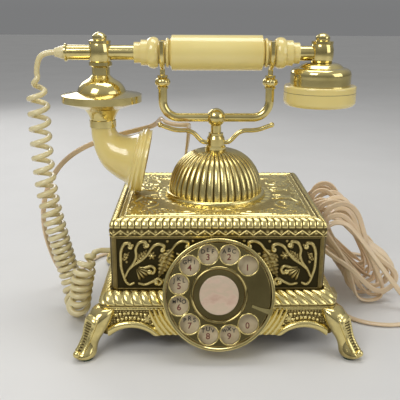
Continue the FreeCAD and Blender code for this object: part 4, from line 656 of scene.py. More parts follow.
def line_route():
    """The line cord's control points: the free run, the hank's loops and the tail to the plug."""
    turn = np.arange(-0.25, HANK_TURNS + 0.25 + 1e-6, 1 / POINTS_A_TURN)
    loops = hank_spots(turn)
    first = unit(loops[1] - loops[0])
    last = unit(loops[-1] - loops[-2])
    return np.concatenate([LINE_ROUTE, [loops[0] - first * ENTRY_RUN], loops, [loops[-1] + last * TAIL_RUN],
                           TAIL_ROUTE])


def line_cord():
    """A flat twin cord whose broad side lies level wherever the line isn't steep."""
    line = spline_points(line_route(), 14)
    total = length_of(line)
    spots = np.linspace(0, total, int(total / LINE_STEP))
    line = along(line, spots)
    way, side, other = steady_frame(line, (0.36, 0.48, 0.80))
    level = np.cross((0, 0, 1), way)
    wanted = np.arctan2(np.sum(level * other, 1), np.sum(level * side, 1))
    clear = np.abs(way[:, 2]) < STEEP
    roll = np.interp(spots, spots[clear], np.unwrap(wanted[clear], period=np.pi))
    roll = evened(roll, ROLL_SPAN)
    lifted = smooth((line[:, 2] - HANK_FLOOR - HANK_EASE) / ROLL_EASE)
    roll = roll + (ROLL_LEAN + ROLL_SWAY * np.sin(spots / ROLL_RUN)) * lifted
    c, s = np.cos(roll)[:, None], np.sin(roll)[:, None]
    broad, thin = side * c + other * s, other * c - side * s
    ring = circle(LINE_SIDES)
    groove = 1 - GROOVE_DEPTH * np.exp(-(np.cos(ring) / GROOVE_WIDTH) ** 2)
    rise = np.sign(np.sin(ring)) * np.abs(np.sin(ring)) ** 0.6 * groove
    profile = np.stack([np.cos(ring) * LINE_WIDTH / 2, rise * LINE_THICK / 2], -1)[None]
    cord = capped("line_flat_cord", tube(line, broad, thin, profile), "base", CORD_CREAM)
    return cord, line


def add_cords():
    """Both cords, each put in place of the solids it stands for."""
    curly, curly_line = curly_cord()
    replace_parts(curly, "curly_cord")
    lift = np.array([-0.6, 0.0, 0.8])
    metres(lift * 110)
    metres(lift * 240)
    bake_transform(curly)
    metres(CURLY_ROUTE[0])
    metres(curly_line)
    flat, flat_line = line_cord()
    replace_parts(flat, "line_cord", "line_hank")
    metres(LINE_ROUTE[0])
    metres(flat_line)


# Relief: height fields in millimetres over a plane


def scroll(start, heading, length, first, last, count=160):
    """A stem that sets off at a heading and turns ever faster, from first to last degrees over its length."""
    u = np.linspace(0, 1, count)
    angle = np.radians(heading + first * u + (last - first) * u ** 3 / 3)
    steps = np.stack([np.cos(angle), np.sin(angle)], -1)[:-1] * length / (count - 1)
    return np.array(start, float) + np.concatenate([[(0, 0)], np.cumsum(steps, axis=0)])


def ridge(x, y, line, half, height):
    """A rounded bar along a line of points, or a bead at each of them; half is the half width."""
    line = np.asarray(line, float)
    gap = (x[..., None] - line[:, 0]) ** 2 + (y[..., None] - line[:, 1]) ** 2
    return height * np.sqrt(np.clip((1 - gap / np.broadcast_to(half, len(line)) ** 2).max(-1), 0, None))


def stem(x, y, path, half, height):
    """A rounded bar along a scroll, which is given by its own values."""
    return ridge(x, y, scroll(*path), half, height)


def leaf(x, y, base, heading, length, half, bend, lobes, height):
    """A leaf on a bent spine: rounded lobes with a rib in each, and a sunk vein."""
    c, s = math.cos(math.radians(heading)), math.sin(math.radians(heading))
    a = (x - base[0]) * c + (y - base[1]) * s
    b = (y - base[1]) * c - (x - base[0]) * s - bend * (a / length) ** 2
    u = np.clip(a / length, 0, 1)
    finger = np.abs(np.sin(np.pi * (lobes * u - 0.5 * np.abs(b) / half)))
    edge = half * np.sin(np.pi * u ** 0.75) * (0.62 + 0.38 * finger) + 1e-6
    back = hump(b / edge) * (a > 0) * (a < length)
    return height * back * (0.55 + 0.45 * finger) * (1 - 0.4 * np.exp(-(b / (0.18 * half)) ** 2))


def rosette(x, y, middle, radius, petals, height):
    """Petals round a bead."""
    r = np.hypot(x - middle[0], y - middle[1])
    turn = np.arctan2(y - middle[1], x - middle[0])
    petal = np.abs(np.cos(petals / 2 * turn))
    flower = hump(r / (radius * (0.6 + 0.4 * petal))) * (0.45 + 0.4 * petal)
    return height * np.maximum(flower, hump(r / (0.36 * radius)))


def fan(x, y, middle, inner, outer, first, last, lobes, height):
    """A shell: lobes that spread from a middle between two headings."""
    r = np.hypot(x - middle[0], y - middle[1])
    t = (np.degrees(np.arctan2(y - middle[1], x - middle[0])) - first) / (last - first)
    lobe = np.abs(np.sin(np.pi * lobes * np.clip(t, 0, 1)))
    reach = (r - inner) / (outer * (0.86 + 0.14 * lobe) - inner)
    return height * lobe ** 0.7 * np.sqrt(np.clip(4 * reach * (1 - reach), 0, 1)) * (t > 0) * (t < 1)


def stipple(x, y, pitch, height):
    """A punched ground: small round bosses on a staggered net."""
    return height * np.clip(np.cos(np.pi * (x + y) / pitch) * np.cos(np.pi * (x - y) / pitch), 0, 1)


LINE_HALF, LINE_HEIGHT = 0.5, 0.9


def frame_lines(edge, *spots):
    """Thin raised lines at given distances from the edge."""
    lines = [hump((edge - spot) / LINE_HALF) for spot in spots]
    return LINE_HEIGHT * np.max(lines, axis=0)


def carve(x, y, height, motifs):
    """The highest of a ground and its motifs; a row holds a motif's function and its values after x and y."""
    for motif, *values in motifs:
        height = np.maximum(height, motif(x, y, *values))
    return height


def bead_row(first, last, step, level, sag):
    """Beads along an arc: their level falls with the square of the distance from its middle."""
    spots = np.arange(first, last, step)
    return np.stack([spots, level - sag * spots ** 2], -1)


# Panels

RELIEF_SCALE = 1.75     # the height at which a casting is worn bright
RELIEF_CLEAR = 0.05     # how far a relief's ground stands off its wall
PANEL_EDGE, PANEL_CORNER, PANEL_MARGIN, PANEL_LINE = 0.9, 3.2, 1.5, 0.6
PANEL_LOW, PANEL_HIGH = Z_BOX + PANEL_EDGE, Z_LID - PANEL_EDGE
FRONT_COLS, FRONT_ROWS, SIDE_COLS, SIDE_ROWS = 250, 170, 400, 116
FRONT_SINK, SIDE_SINK, CUP_LAP = 0.6, 0.55, 1.5
CURLY_EXIT, LINE_EXIT = (-30.0, 62.0), (-18.0, 28.0)
BUSH_RADIUS, BUSH_FADE = 7.0, 2.0
SHELL_HALF, SHELL_FADE = 12.0, 4.0
VINE_STEPS, VINE_HALF, VINE_GROWS, VINE_HEIGHT, BULB_HALF, BULB_HEIGHT = 14, 1.15, 0.45, 1.5, 2.3, 1.9
VINES = [
    # a stem's points, inward from the outer edge and up from the lower one
    [(11.5, 3.6), (8.2, 2.4), (5.6, 5.0), (4.0, 10), (2.6, 16), (2.4, 23), (2.8, 29), (5.0, 34.2),
     (8.6, 35.2), (9.6, 32.2)],
    [(5.4, 9), (8.0, 14.5), (11.6, 19.5), (13.8, 25), (13.6, 30.5), (16.0, 35.4), (20.0, 36.4), (21.8, 33.4)],
    [(8.0, 14.5), (12.6, 18.6), (18.2, 22.4), (22.4, 27), (26.2, 32.4), (30.6, 34.6), (34.2, 33.0),
     (33.4, 29.8)],
    [(36.5, 26), (40.0, 30), (43.5, 34.6), (48.0, 36.8), (52.0, 35.4), (51.6, 32.4)],
    [(15.5, 3.2), (20.0, 2.4), (25.0, 4.4), (29.6, 7.0), (32.4, 4.8), (30.4, 2.4), (28.4, 3.8)],
    [(20.0, 16), (24.6, 17.2), (27.4, 14.6), (26.0, 11.6), (23.4, 12.4)],
    [(44.0, 27), (48.5, 25.2), (49.0, 21.0), (46.0, 20.4)],
]
BERRIES = [(5.6, 26.5), (6.4, 23.6), (6.6, 20.4), (36.8, 36.6), (11.4, 33.4), (24.0, 36.8), (55.5, 37.0)]
SPRAY = [
    # base, heading, length, half width, bend, lobes, height
    (leaf, (39.5, 31.0), -106, 25, 6.4, -3.0, 8, 1.5),
    (leaf, (31.5, 27.0), -74, 14, 3.8, 2.0, 5, 1.5),
    (leaf, (13.5, 21.5), 36, 12, 3.0, 2.0, 5, 1.5),
    (leaf, (4.0, 21.0), 66, 9, 2.2, -1.5, 4, 1.5),
    (leaf, (43.5, 14.0), -88, 12, 4.0, 2.0, 5, 1.5),
    (leaf, (50.0, 32.0), -70, 18, 3.6, 3.0, 6, 1.5),
    (leaf, (21.0, 30.5), 100, 6, 1.8, 1.0, 3, 1.5),
    # middle, inner and outer radius, first and last heading, lobes, height
    (fan, (13.0, 16.5), 2, 11.5, -82, 6, 5, 1.5),
    (fan, (38.5, 10.0), 1.5, 8.5, -150, -20, 5, 1.5),
    # middle, radius, petals, height
    (rosette, (25.2, 25.4), 3.6, 6, 1.8),
    # points, half width, height
    (ridge, BERRIES, 1.3, 1.3),
]
STANDING_SHELL = [
    # a fan's and a rosette's values, as above
    (fan, (0, PANEL_LOW + 3), 3, 30, 32, 148, 9, 1.5),
    (rosette, (0, PANEL_LOW + 5), 4.5, 8, 1.8),
]
WALLS = [
    # quarter turns from +X, name, half the wall's length, its distance from the middle
    (0, "right", HALF_Y, HALF_X), (1, "back", HALF_X, HALF_Y), (2, "left", HALF_Y, HALF_X),
    (3, "front", HALF_X, HALF_Y),
]


def spray(u, v):
    """Scrolling acanthus from a lower outer corner: u runs inward and v up, over about 55 by 39."""
    height = np.zeros_like(u)
    for points in VINES:
        line = flow(points, VINE_STEPS)
        half = VINE_HALF + VINE_GROWS * np.linspace(0, 1, len(line))
        bars = [(ridge, line, half, VINE_HEIGHT), (ridge, line[-1:], BULB_HALF, BULB_HEIGHT)]
        height = carve(u, v, height, bars)
    return carve(u, v, height, SPRAY)


def cup_reach(y, z):
    """Half the width of the dial's cup where a plane across the casket cuts it at a height."""
    v = (y - DIAL_CENTRE[1]) * math.sin(DIAL_TILT) + (z - DIAL_CENTRE[2]) * math.cos(DIAL_TILT)
    w = -(y - DIAL_CENTRE[1]) * math.cos(DIAL_TILT) + (z - DIAL_CENTRE[2]) * math.sin(DIAL_TILT)
    radius = CUP_RADIUS - CUP_TAPER * np.clip(-CUP_RIM - w, 0, None)
    return np.sqrt(np.clip(radius ** 2 - v ** 2, 0, None))


def add_front_panels():
    """Each half: a grid from the casket's corner to the dial's cup, lifted by the spray's height."""
    face = -HALF_Y - RELIEF_CLEAR
    outer = HALF_X - PANEL_CORNER
    share, z = np.meshgrid(np.linspace(0, 1, FRONT_COLS), np.linspace(PANEL_LOW, PANEL_HIGH, FRONT_ROWS))
    inner = cup_reach(face, z) - CUP_LAP
    x = outer + (inner - outer) * share
    edge = np.minimum(np.minimum(outer - x, z - PANEL_LOW), PANEL_HIGH - z)
    height = spray(outer - x - PANEL_MARGIN, z - PANEL_LOW - PANEL_MARGIN)
    height = np.maximum(height, frame_lines(edge, PANEL_LINE))

    def drop(rim):
        return rim * (1, 0, 1) + (0, face + FRONT_SINK, 0)

    for side, name in ((-1, "left"), (1, "right")):
        top = np.stack([side * x, face - height, z], -1)
        make_slab("front_panel_" + name, top, drop, CAST_DARK, height / RELIEF_SCALE)


def turned(points, quarters):
    """Points turned about the vertical by quarter turns."""
    c, s = math.cos(quarters * math.pi / 2), math.sin(quarters * math.pi / 2)
    x, y, z = np.moveaxis(np.asarray(points, float), -1, 0)
    return np.stack([x * c - y * s, x * s + y * c, z], -1)


def wall_slab(name, wall, height, u, z, sink, quarters, finish):
    """A relief on one wall: height over u and z as if the wall faced +X, then turned to its own side."""
    def drop(rim):
        flat = turned(rim, -quarters)
        flat[:, 0] = wall - sink
        return turned(flat, quarters)

    top = turned(np.stack([wall + RELIEF_CLEAR + height, u, z], -1), quarters)
    make_slab(name, top, drop, finish, height / RELIEF_SCALE)


def bush_clear(u, z, spot):
    """Nought round a cord's bush, and one away from it."""
    return smooth((np.hypot(u - spot[0], z - spot[1]) - BUSH_RADIUS) / BUSH_FADE)


def add_side_panels():
    """Right, back and left: mirrored sprays beside a standing shell; flat round the cord's bush."""
    for quarters, name, reach, wall in WALLS[:3]:
        half = reach - PANEL_CORNER
        u, z = np.meshgrid(np.linspace(-half, half, SIDE_COLS), np.linspace(PANEL_LOW, PANEL_HIGH, SIDE_ROWS))
        inward = half - np.abs(u)
        edge = np.minimum(inward, np.minimum(z - PANEL_LOW, PANEL_HIGH - z))
        sprays = spray(inward - PANEL_MARGIN, z - PANEL_LOW - PANEL_MARGIN)
        height = carve(u, z, sprays * smooth((np.abs(u) - SHELL_HALF) / SHELL_FADE), STANDING_SHELL)
        height = np.maximum(height, frame_lines(edge, PANEL_LINE))
        if name == "left":
            height = height * bush_clear(-u, z, CURLY_EXIT)
        wall_slab("panel_" + name, wall, height, u, z, SIDE_SINK, quarters, CAST_DARK)


# Skirts

ARCH_IN, ARCH_RADIUS, ARCH_DROP = 23.0, 23.0, 17.44
MOULDING_OUT = 3.0
SKIRT_TOP = Z_FLARE - 1.2
SKIRT_CORNER, SKIRT_LAP, SKIRT_SINK = 6.0, 1.2, 0.5
SKIRT_ROWS, SKIRT_COLS = 70, 170
GROUND_HEIGHT, STIPPLE_PITCH, STIPPLE_HEIGHT = 0.15, 2.2, 0.5
SKIRT_LINE, SKIRT_LINE_HALF, SKIRT_LINE_HEIGHT = 1.0, 0.7, 0.8
ARCH_SWING = np.radians(np.linspace(22, 158, 120))
MOULDING = np.stack([(ARCH_RADIUS + MOULDING_OUT) * np.cos(ARCH_SWING),
                     Z_SKIRT - ARCH_DROP + (ARCH_RADIUS + MOULDING_OUT) * np.sin(ARCH_SWING)], -1)
MOULDING_END = scroll((-17.5, 17.5), 215, 20, 30, 900)
SKIRT = [
    # points across from the arch's middle and up from the table, half width, height
    (ridge, MOULDING, np.linspace(3.6, 2.4, len(MOULDING)), 3.0),
    (ridge, MOULDING_END, np.linspace(1.7, 1.1, len(MOULDING_END)), 1.7),
    (ridge, [(-18.8, 19.2)], 1.7, 1.9),
    (ridge, bead_row(-17, 16, 3.1, 31.4, 0.012), 1.3, 1.3),
    (ridge, bead_row(-9, 12, 3.1, 27.6, 0.02), 1.3, 1.3),
    (ridge, [(-16, 22.5), (-18.4, 25.86), (-20.8, 29.22)], 1.0, 1.0),
    # middle, radius, petals, height
    (rosette, (-12, 26.2), 3.2, 6, 1.4),
]
SKIRT_LEAF = [
    # base, heading, length, half width, bend, lobes, height
    (leaf, (-20, 25), 180, 24, 5, 0, 6, 1.3),
]
CUP_LEAVES = (42.6, 46.0, 49.4, 52.8)     # radii about the dial's axis
CUP_LEAF_SWING = np.radians(np.linspace(-14, -58, 60))
CUP_LEAF_TIP, CUP_LEAF_HALF, CUP_LEAF_HEIGHT = 0.3, 1.75, 2.0


def cup_leaves(x, z, plane):
    """Curved leaves on the skirt round the dial's cup: bars on circles about its axis, thin at the ends."""
    swing = CUP_LEAF_SWING
    half = CUP_LEAF_TIP + CUP_LEAF_HALF * np.sin(np.pi * np.linspace(0, 1, len(swing))) ** 0.5
    middle = DIAL_CENTRE[2] + (DIAL_CENTRE[1] + plane) * math.tan(DIAL_TILT)
    lines = [np.stack([reach * np.cos(swing), middle + reach * np.sin(swing)], -1) for reach in CUP_LEAVES]
    return np.max([ridge(x, z, line, half, CUP_LEAF_HEIGHT) for line in lines], axis=0)


def add_skirts():
    """Skirts, half by half: punched ground, arch moulding with a scroll end, beads, rosette and leaves."""
    row, col = np.meshgrid(np.linspace(0, 1, SKIRT_ROWS), np.linspace(0, 1, SKIRT_COLS), indexing="ij")
    for quarters, name, half, out in WALLS:
        reach, wall = half + FLARE, out + FLARE
        outer, middle = reach - SKIRT_CORNER, reach - ARCH_IN
        inner = 0 * row
        if name == "front":
            inner = cup_reach(-wall, Z_SKIRT + (SKIRT_TOP - Z_SKIRT) * row) - SKIRT_LAP
        x = outer + (inner - outer) * col
        arch = np.sqrt(np.clip(ARCH_RADIUS ** 2 - (x - middle) ** 2, 0, None)) - ARCH_DROP
        low = Z_SKIRT + np.clip(arch, 0, None) + RELIEF_CLEAR
        z = low + (SKIRT_TOP - low) * row
        height = carve(x - middle, z, GROUND_HEIGHT + stipple(x, z, STIPPLE_PITCH, STIPPLE_HEIGHT), SKIRT)
        if name == "front":
            height = np.maximum(height, cup_leaves(x, z, wall))
        else:
            height = carve(x - middle, z, height, SKIRT_LEAF)
        line = hump((z - SKIRT_TOP + SKIRT_LINE) / SKIRT_LINE_HALF)
        height = np.maximum(height, SKIRT_LINE_HEIGHT * line)
        for side, end in ((-1, "low"), (1, "high")):
            lift = height * bush_clear(-side * x, z, LINE_EXIT) if name == "back" else height
            wall_slab("skirt_%s_%s" % (name, end), wall, lift, side * x, z, SKIRT_SINK, quarters, RIBBED)


# Bands round the box

BAND_BRIGHT = 1.1      # the height at which a band is worn bright
GADROONS_X, GADROONS_Y, GADROON_STEPS = 30, 27, 12
REEDS_X, REEDS_Y, REED_STEPS, REED_SLANT = 24, 21, 14, 1.2
BAND_GROUND, GADROON_HEIGHT, CHEVRON_HEIGHT = 0.12, 0.95, 0.75
GADROON_ROWS, CHEVRON_ROWS = 22, 30
# degrees up the quarter round
GADROON_TOP, GADROON_END, GADROON_LOW_FADE, GADROON_HIGH_FADE = 84, 86, 14, 12
CHEVRON_START, CHEVRON_END, CHEVRON_DEPTH = 0.25, 6.3, 5.6
# shares of the chevrons' depth, up from its lower edge
CHEVRON_FOOT, CHEVRON_RISE, CHEVRON_HALF = 0.16, 0.62, 0.12
HIGH_DROP, LOW_DROP, DROP_HALF, BAND_LINE, BAND_LINE_HALF = 0.45, 0.62, 0.2, -0.03, 0.06
REED_GROUND, REED_HEIGHT, REED_ROWS, REED_LOW_FADE, REED_HIGH_FADE = 0.35, 1.5, 26, 0.12, 0.1
FLARE_WAIST, FLARE_TOP, WAIST_RISE = 6.2, 0.5, 5.5
CORNER_RADIUS, LEAST_CORNER = 3.0, 0.3


def round_loop(lobes_x, lobes_y, per_lobe):
    """Once round a box: corner-share and normal of each point, and how many lobes lie behind it."""
    shares, normals, counts = [], [], []
    behind = 0
    for k, lobes in enumerate((lobes_y, lobes_x, lobes_y, lobes_x)):
        a = k * math.pi / 2
        c, s = math.cos(a), math.sin(a)
        t = np.arange(lobes * per_lobe) / (lobes * per_lobe)
        turn = np.arange(per_lobe) / per_lobe
        run = np.stack([c - s * (2 * t - 1), s + c * (2 * t - 1)], -1)
        shares += [run, np.repeat([[c - s, s + c]], per_lobe, axis=0)]
        normals += [np.repeat([[c, s]], len(t), axis=0),
                    np.stack([np.cos(a + turn * math.pi / 2), np.sin(a + turn * math.pi / 2)], -1)]
        counts += [behind + lobes * t, behind + lobes + turn]
        behind += lobes + 1
    return np.concatenate(shares), np.concatenate(normals), np.concatenate(counts)


def make_band(name, loop, out, corner, z, height, slope, finish):
    """A closed band round the box: row by row its reach, corner radius and height, lifted along a slope."""
    share, normal, _ = loop
    half = np.stack([HALF_X + out, HALF_Y + out], -1)[:, None] - corner[:, None, None]
    lift = (height * np.cos(slope)[:, None])[..., None]
    plan = share[None] * half + normal[None] * (corner[:, None, None] + lift)
    points = np.concatenate([plan, (z[:, None] + height * np.sin(slope)[:, None])[..., None]], -1)
    rows, cols = points.shape[:2]
    make_piece(name, points, grid_quads(rows, cols, True, True), "base", finish, height / BAND_BRIGHT)


def add_lid_band():
    """Lid edge: gadroons over the quarter round, chevrons with drops, a line below, and a plain back."""
    loop = round_loop(GADROONS_X, GADROONS_Y, GADROON_STEPS)
    count = loop[2][None]
    bend = np.radians(np.linspace(GADROON_TOP, 0, GADROON_ROWS))
    fall = np.linspace(CHEVRON_START, CHEVRON_END, CHEVRON_ROWS)
    lobe = np.abs(np.sin(np.pi * count)) ** 0.38
    up = np.degrees(bend)
    ends = smooth(up / GADROON_LOW_FADE) * smooth((GADROON_END - up) / GADROON_HIGH_FADE)
    gadroon = BAND_GROUND + GADROON_HEIGHT * lobe * ends[:, None]
    t = 1 - fall[:, None] / CHEVRON_DEPTH
    zig = np.abs(2 * np.mod(count / 2, 1) - 1)
    chevron = np.exp(-((t - CHEVRON_FOOT - CHEVRON_RISE * zig) / CHEVRON_HALF) ** 2)
    high_drop = np.exp(-((1 - zig) / DROP_HALF) ** 2 - ((t - HIGH_DROP) / DROP_HALF) ** 2)
    low_drop = np.exp(-(zig / DROP_HALF) ** 2 - ((t - LOW_DROP) / DROP_HALF) ** 2)
    line = np.exp(-((t - BAND_LINE) / BAND_LINE_HALF) ** 2)
    zigzag = BAND_GROUND + CHEVRON_HEIGHT * np.maximum(np.maximum(chevron, high_drop + low_drop), line)
    back_in = np.array([1.0, 1.0, 4.0, 7.2])
    back_z = np.array([Z_LID - 0.7, Z_TOP - 7, Z_TOP - 3, Z_TOP - 0.4])
    inset = np.concatenate([LID_ROUND * (1 - np.cos(bend)), 0 * fall, back_in])
    z = np.concatenate([Z_TOP - LID_ROUND + LID_ROUND * np.sin(bend), Z_TOP - LID_ROUND - fall, back_z])
    slope = np.concatenate([bend, 0 * fall, 0 * back_in])
    height = np.concatenate([gadroon, zigzag, 0 * back_in[:, None] * count])
    corner = np.clip(CORNER_RADIUS - inset, LEAST_CORNER, None)
    make_band("lid_edge", loop, LID_OUT - inset, corner, z, height, slope, CAST)


def add_rope_band():
    """Slanted reeds round the flare with sharp valleys between, over a plain fillet; and a plain back."""
    loop = round_loop(REEDS_X, REEDS_Y, REED_STEPS)
    t = np.linspace(0, 1, REED_ROWS)
    start, middle, end = (2 * t - 1) * (t - 1), 4 * t * (1 - t), t * (2 * t - 1)
    reach = FLARE * start + FLARE_WAIST * middle + FLARE_TOP * end
    z = Z_FLARE * start + (Z_FLARE + WAIST_RISE) * middle + Z_BOX * end
    slope = np.arctan2(-np.gradient(reach), np.gradient(z))
    reed = np.sin(np.pi * np.mod(loop[2][None] + REED_SLANT * t[:, None], 1) ** 0.75) ** 0.55
    ends = (smooth(t / REED_LOW_FADE) * smooth((1 - t) / REED_HIGH_FADE))[:, None]
    fillet_drop = np.array([1.4, 1.25, 0.9, 0.35, 0.0])
    fillet = np.array([0.0, 0.5, 0.95, 0.95, 0.5])
    back_out = np.array([-0.8, 4.0, 7.5])
    back_z = np.array([Z_BOX - 0.6, Z_FLARE + 4, Z_FLARE - 1.3])
    flat = np.ones(len(loop[2]))
    height = np.concatenate([fillet[:, None] * flat, REED_GROUND + REED_HEIGHT * reed * ends,
                             0 * back_out[:, None] * flat])
    reach = np.concatenate([0 * fillet + FLARE, reach, back_out])
    z = np.concatenate([Z_FLARE - RELIEF_CLEAR - fillet_drop, z, back_z])
    slope = np.concatenate([0 * fillet, slope, 0 * back_out])
    corner = CORNER_RADIUS + np.clip(reach, 0, None) / 3
    make_band("rope_band", loop, reach, corner, z, height, slope, CAST_DARK)


# Lid top

LID_MARGIN, LID_COLS, LID_ROWS = 6, 290, 260
LID_GROUND, LID_RIPPLE, RIPPLE_X, RIPPLE_Y, LID_SINK = 0.18, 0.04, 0.9, 1.1, 0.5
LID_LINES, LID_LINE_SHARE = (7.0, 10.4), 0.8
PLINTH_RING, PLINTH_RING_HALF, PLINTH_LOBES, PLINTH_HEIGHT = 43.6, 3.3, 16, 1.15
PLINTH_CLEAR, PLINTH_UNDER, PLINTH_DIP = 48, 40.4, 0.3
LID = [
    # base, heading, length, half width, bend, lobes, height
    (leaf, (67, 54), 205, 30, 7.5, -5.0, 7, 1.15),
    (leaf, (67, 52), 238, 30, 6.5, 3.0, 7, 1.1),
    (leaf, (66, 55), 186, 30, 5.0, -3.0, 7, 1.0),
    (leaf, (66, 30), 200, 19, 5.0, 4.0, 5, 0.95),
    (leaf, (46, 53), 188, 20, 4.0, 3.0, 5, 0.9),
    (leaf, (5, 54), 4, 17, 2.6, -2.0, 5, 0.9),
    (leaf, (66.5, 5), 88, 15, 2.6, 2.0, 5, 0.9),
    (leaf, (63, 12), 176, 16, 4.5, 2.0, 5, 1.1),
    (leaf, (22, 54), 214, 15, 4.0, -2.0, 5, 1.0),
    # middle, inner and outer radius, first and last heading, lobes, height
    (fan, (66.5, 53.5), 3, 17, -176, -94, 6, 1.15),
    # a scroll's start, heading, length, first and last turn; then half width, height
    (stem, ((66, 26), 250, 46, -20, -800), 1.5, 1.05),
    (stem, ((40, 55.5), 178, 52, 14, 700), 1.5, 1.05),
    (stem, ((62, 46), 205, 40, 20, 900), 1.35, 1.1),
    (stem, ((56, 54), 228, 34, -10, -900), 1.3, 1.1),
    (stem, ((61, 8), 128, 26, 20, 900), 1.3, 1.0),
    (stem, ((14, 53), 330, 22, 20, 800), 1.2, 1.0),
    # middle, radius, petals, height
    (rosette, (0, 54), 4.6, 8, 1.2),
    (rosette, (66.5, 0), 4.6, 8, 1.1),
    (rosette, (58, 33), 3.6, 6, 1.2),
    (rosette, (33, 48), 3.4, 6, 1.1),
    # points, half width, height
    (ridge, [(64 - 2.6 * k, 57 - 0.02 * k * k) for k in range(9)], 1.0, 0.9),
    (ridge, [(68.5, 50 - 2.6 * k) for k in range(8)], 1.0, 0.9),
]


def add_lid_top():
    """Lid relief, folded to one quadrant: border lines and motifs, and lobes round the plinth."""
    x, y = np.meshgrid(np.linspace(-HALF_X + LID_MARGIN, HALF_X - LID_MARGIN, LID_COLS),
                       np.linspace(-HALF_Y + LID_MARGIN, HALF_Y - LID_MARGIN, LID_ROWS))
    a, b = np.abs(x), np.abs(y)
    ground = LID_GROUND + LID_RIPPLE * np.sin(RIPPLE_X * x) * np.sin(RIPPLE_Y * y)
    lines = frame_lines(np.minimum(HALF_X - a, HALF_Y - b), *LID_LINES) * LID_LINE_SHARE
    height = carve(a, b, np.maximum(ground, lines), LID)
    r, turn = np.hypot(x, y), np.arctan2(y, x)
    lobe = np.abs(np.cos(PLINTH_LOBES * turn)) ** 0.6
    ring = PLINTH_HEIGHT * lobe * hump((r - PLINTH_RING) / PLINTH_RING_HALF)
    height = np.where(r < PLINTH_CLEAR, np.maximum(ring, LID_GROUND), height)
    height = np.where(r < PLINTH_UNDER, -PLINTH_DIP, height)
    top = np.stack([x, y, Z_TOP + height], -1)

    def drop(rim):
        return rim * (1, 1, 0) + (0, 0, Z_TOP - LID_SINK)

    make_slab("lid_relief", top, drop, CAST_PALE, height)


# Legs

LEG_SECTIONS = [
    # share of the height, then of the reach, half depth and half width
    (0.00, 1.00, 0.85, 0.72), (0.09, 1.00, 1.08, 0.94), (0.21, 0.84, 0.90, 0.80), (0.41, 0.55, 0.88, 0.82),
    (0.64, 0.25, 1.12, 1.06), (0.84, 0.00, 1.22, 1.15), (0.98, -0.40, 0.75, 0.70),
]
LEG_REACH, LEG_HALF, LEG_FOOT, LEG_RISE, LEG_STEPS = 16.5, 8.0, 1.5, 35.5, 40
# low, high, top, arch, pitch and end are shares of the leg's height, here and below
LEG_LOW, LEG_HIGH, LEG_SWING, LEG_ROWS, LEG_COLS = 0.12, 0.92, math.radians(46), 150, 44
CORNER_X, CORNER_Y = 86.243, 77.243
CHANNEL_HALF, CHANNEL_LOW, CHANNEL_TOP, CHANNEL_ARCH = 4.4, 0.15, 0.68, 0.13
HOOD_HALF, HOOD_HEIGHT, BAR_PITCH, BAR_GROUND, BAR_HEIGHT = 2.0, 1.7, 0.052, 0.25, 0.75
BARS_END, BARS_FADE, CHANNEL_FADE = 0.74, 0.03, 0.6
LEG_SINK, LEG_DIP, LEG_FADE, SIDE_FADE = 1.0, 0.5, 0.05, 0.2
TOE_RADIUS, TOE_REACH, TOE_RISE = 2.9, LEG_REACH + LEG_HALF * 0.98, 4.6
TOE_ROWS, TOE_SIDES, TOE_POLE = 16, 28, 0.02
LEGS = ((1, -1, "front_right"), (-1, -1, "front_left"), (1, 1, "rear_right"), (-1, 1, "rear_left"))


